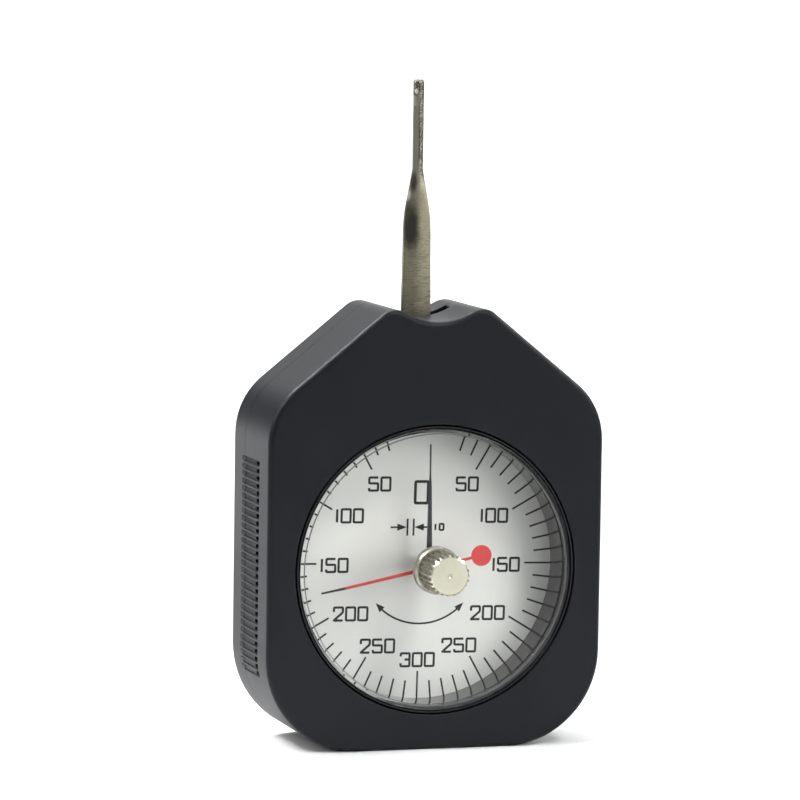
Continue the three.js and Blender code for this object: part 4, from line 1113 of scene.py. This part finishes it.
bmesh.ops.create_grid(
    lever, x_segments=1, y_segments=1, size=1,
    matrix=Matrix.Translation((0, lever_middle, pivot_height)) @ Matrix.Diagonal(
        (blade_half, blade_thickness / 2, 1, 1)))
bevelled(lever, lever.verts[:], blade_corner, 3, "VERTICES")
bmesh.ops.delete(lever, geom=lever.faces[:], context="FACES_ONLY")
wide_sides = [edge for edge in lever.edges if edge.calc_length() > blade_half]
bmesh.ops.subdivide_edges(lever, edges=wide_sides, cuts=5)
long_edges = [edge for edge in lever.edges if edge.calc_length() > blade_step]
bmesh.ops.subdivide_edges(lever, edges=long_edges, cuts=1)
bmesh.ops.contextual_create(lever, geom=lever.edges[:])
blade_ring = lever.edges[:]


def raised_ring(mesh, ring, height, share_x, share_y=1):
    """Extrudes a ring of edges up to a height and scales it about the lever's middle line"""
    grown = bmesh.ops.extrude_edge_only(mesh, edges=ring)["geom"]
    verts = verts_of(grown)
    for vert in verts:
        vert.co.z = height
    bmesh.ops.scale(
        mesh, verts=verts, vec=(share_x, share_y, 1), space=Matrix.Translation((0, -lever_middle, 0)))
    edges = [item for item in grown if isinstance(item, bmesh.types.BMEdge)]
    return [edge for edge in edges if all(v in verts for v in edge.verts)]


share_below = 1
for height, share in blade_stations:
    blade_ring = raised_ring(lever, blade_ring, height, share / share_below)
    share_below = share
rod_verts = bmesh.ops.create_circle(
    lever, segments=len(blade_ring), radius=rod_radius,
    matrix=Matrix.Translation((0, lever_middle, rod_start)))["verts"]
rod_ring = [edge for edge in lever.edges if all(v in rod_verts for v in edge.verts)]
shoulder = bmesh.ops.bridge_loops(lever, edges=blade_ring + rod_ring)["edges"]
shoulder_ribs = [edge for edge in shoulder if abs(edge.verts[0].co.z - edge.verts[1].co.z) > near]
bmesh.ops.subdivide_edgering(
    lever, edges=shoulder_ribs, cuts=shoulder_cuts, interp_mode="SURFACE", smooth=1, profile_shape="SMOOTH",
    profile_shape_factor=0)
tip_ring = raised_ring(lever, rod_ring, lever_top - tip_bend, 1)
tip_turns = [i * pi / 2 / tip_steps for i in range(tip_steps + 1)]
tip_radii = [rod_radius - tip_bend * (1 - cos(turn)) for turn in tip_turns]
for turn, radius, radius_below in zip(tip_turns[1:], tip_radii[1:], tip_radii):
    share = radius / radius_below
    tip_ring = raised_ring(lever, tip_ring, lever_top - tip_bend * (1 - sin(turn)), share, share)
bmesh.ops.contextual_create(lever, geom=tip_ring)
bmesh.ops.recalc_face_normals(lever, faces=lever.faces)
wheel_start = flat_start - flat_run_in
wheel_back = -case_front - rod_radius + flat_depth
ground = block(
    (-flat_half_width, wheel_back - 2 * flat_run_in, wheel_start), (flat_half_width, wheel_back, flat_end))
for height, radius, segments in ((wheel_start, flat_run_in, 32), (flat_end, flat_run_out, 8)):
    rim = [
        edge for edge in ground.edges
        if all(v.co.y > -rod_radius and abs(v.co.z - height) < near for v in edge.verts)
    ]
    bevelled(ground, rim, radius, segments)
bmesh.ops.rotate(ground, verts=ground.verts, cent=(0, 0, 0), matrix=Matrix.Rotation(flat_turn, 3, "Z"))
bmesh.ops.translate(ground, verts=ground.verts, vec=(0, lever_middle, 0))
lever = cut(lever, ground)
blade_front = lever_middle - blade_thickness / 2 - case_front
blade_back = blade_front + blade_thickness
tail = block(
    (-blade_half, blade_front, pivot_height - tail_drop), (blade_half, blade_back, pivot_height + tail_rise))
lever = joined(lever, tail)
lever = joined(lever, bar(eye_radius, blade_front, blade_back, 0, pivot_height, round_steps))
lever = cut(lever, bar(
    eye_bore, blade_front - overrun, blade_back + overrun, 0, pivot_height, small_steps))
for drop in rivet_drops:
    lever = cut(lever, bar(
        rivet_bore, blade_front - overrun, blade_back + overrun, 0, pivot_height - drop))
finished("steel_feeler_lever", lever, "lever", brushed, ["feeler_lever"], crease=35)


# Works inside: brass plates, pillars, bushes and hub, steel pins and arbors, and blued springs. They keep the
# shape that they have in the frame and get their real metals.
brass_colours = (0.42, 0.30, 0.11, 1), (0.62, 0.47, 0.20, 1)
plate_colours = (0.45, 0.34, 0.14, 1), (0.60, 0.47, 0.22, 1)
spring_colours = (0.10, 0.11, 0.14, 1), (0.30, 0.31, 0.34, 1)

brass = grained(
    "turned_brass", (0.25, 2, (1, 8, 1)), brass_colours, (0.22, 0.2), 0.004, (1.2, 3), metallic=1)
plate_brass = grained(
    "rolled_plate_brass", (1.5, 3, (1, 1, 0.12)), plate_colours, (0.3, 0.2), 0.005, metallic=1)
spring_steel = grained("drawn_spring_steel", (0.6, 3), spring_colours, (0.25, 0.2), 0.003, metallic=1)
works = {
    plate_brass: ["mounting_plate", "bridge_plate"],
    brass: [
        "hairspring_collet", "hairspring_stud", "lever_hub", "sector_gear", "spring_post_left",
        "spring_post_right", "pivot_bush_front", "pivot_bush_rear", "arbor_bush_front", "arbor_bush_rear",
        "pillar_1", "pillar_2", "pillar_3", "pillar_4",
    ],
    turned_steel: [
        "pointer_arbor", "pivot_shaft", "lever_rivet_1", "lever_rivet_2", "spring_pin", "stop_pin_left",
        "stop_pin_right",
    ],
    screw_steel: ["bridge_screw_1", "bridge_screw_2", "bridge_screw_3", "bridge_screw_4"],
    spring_steel: ["hairspring", "return_spring_left", "return_spring_right"],
}
for finish, names in works.items():
    for name in names:
        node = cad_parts[name]
        node.data.materials.clear()
        node.data.materials.append(finish.material)
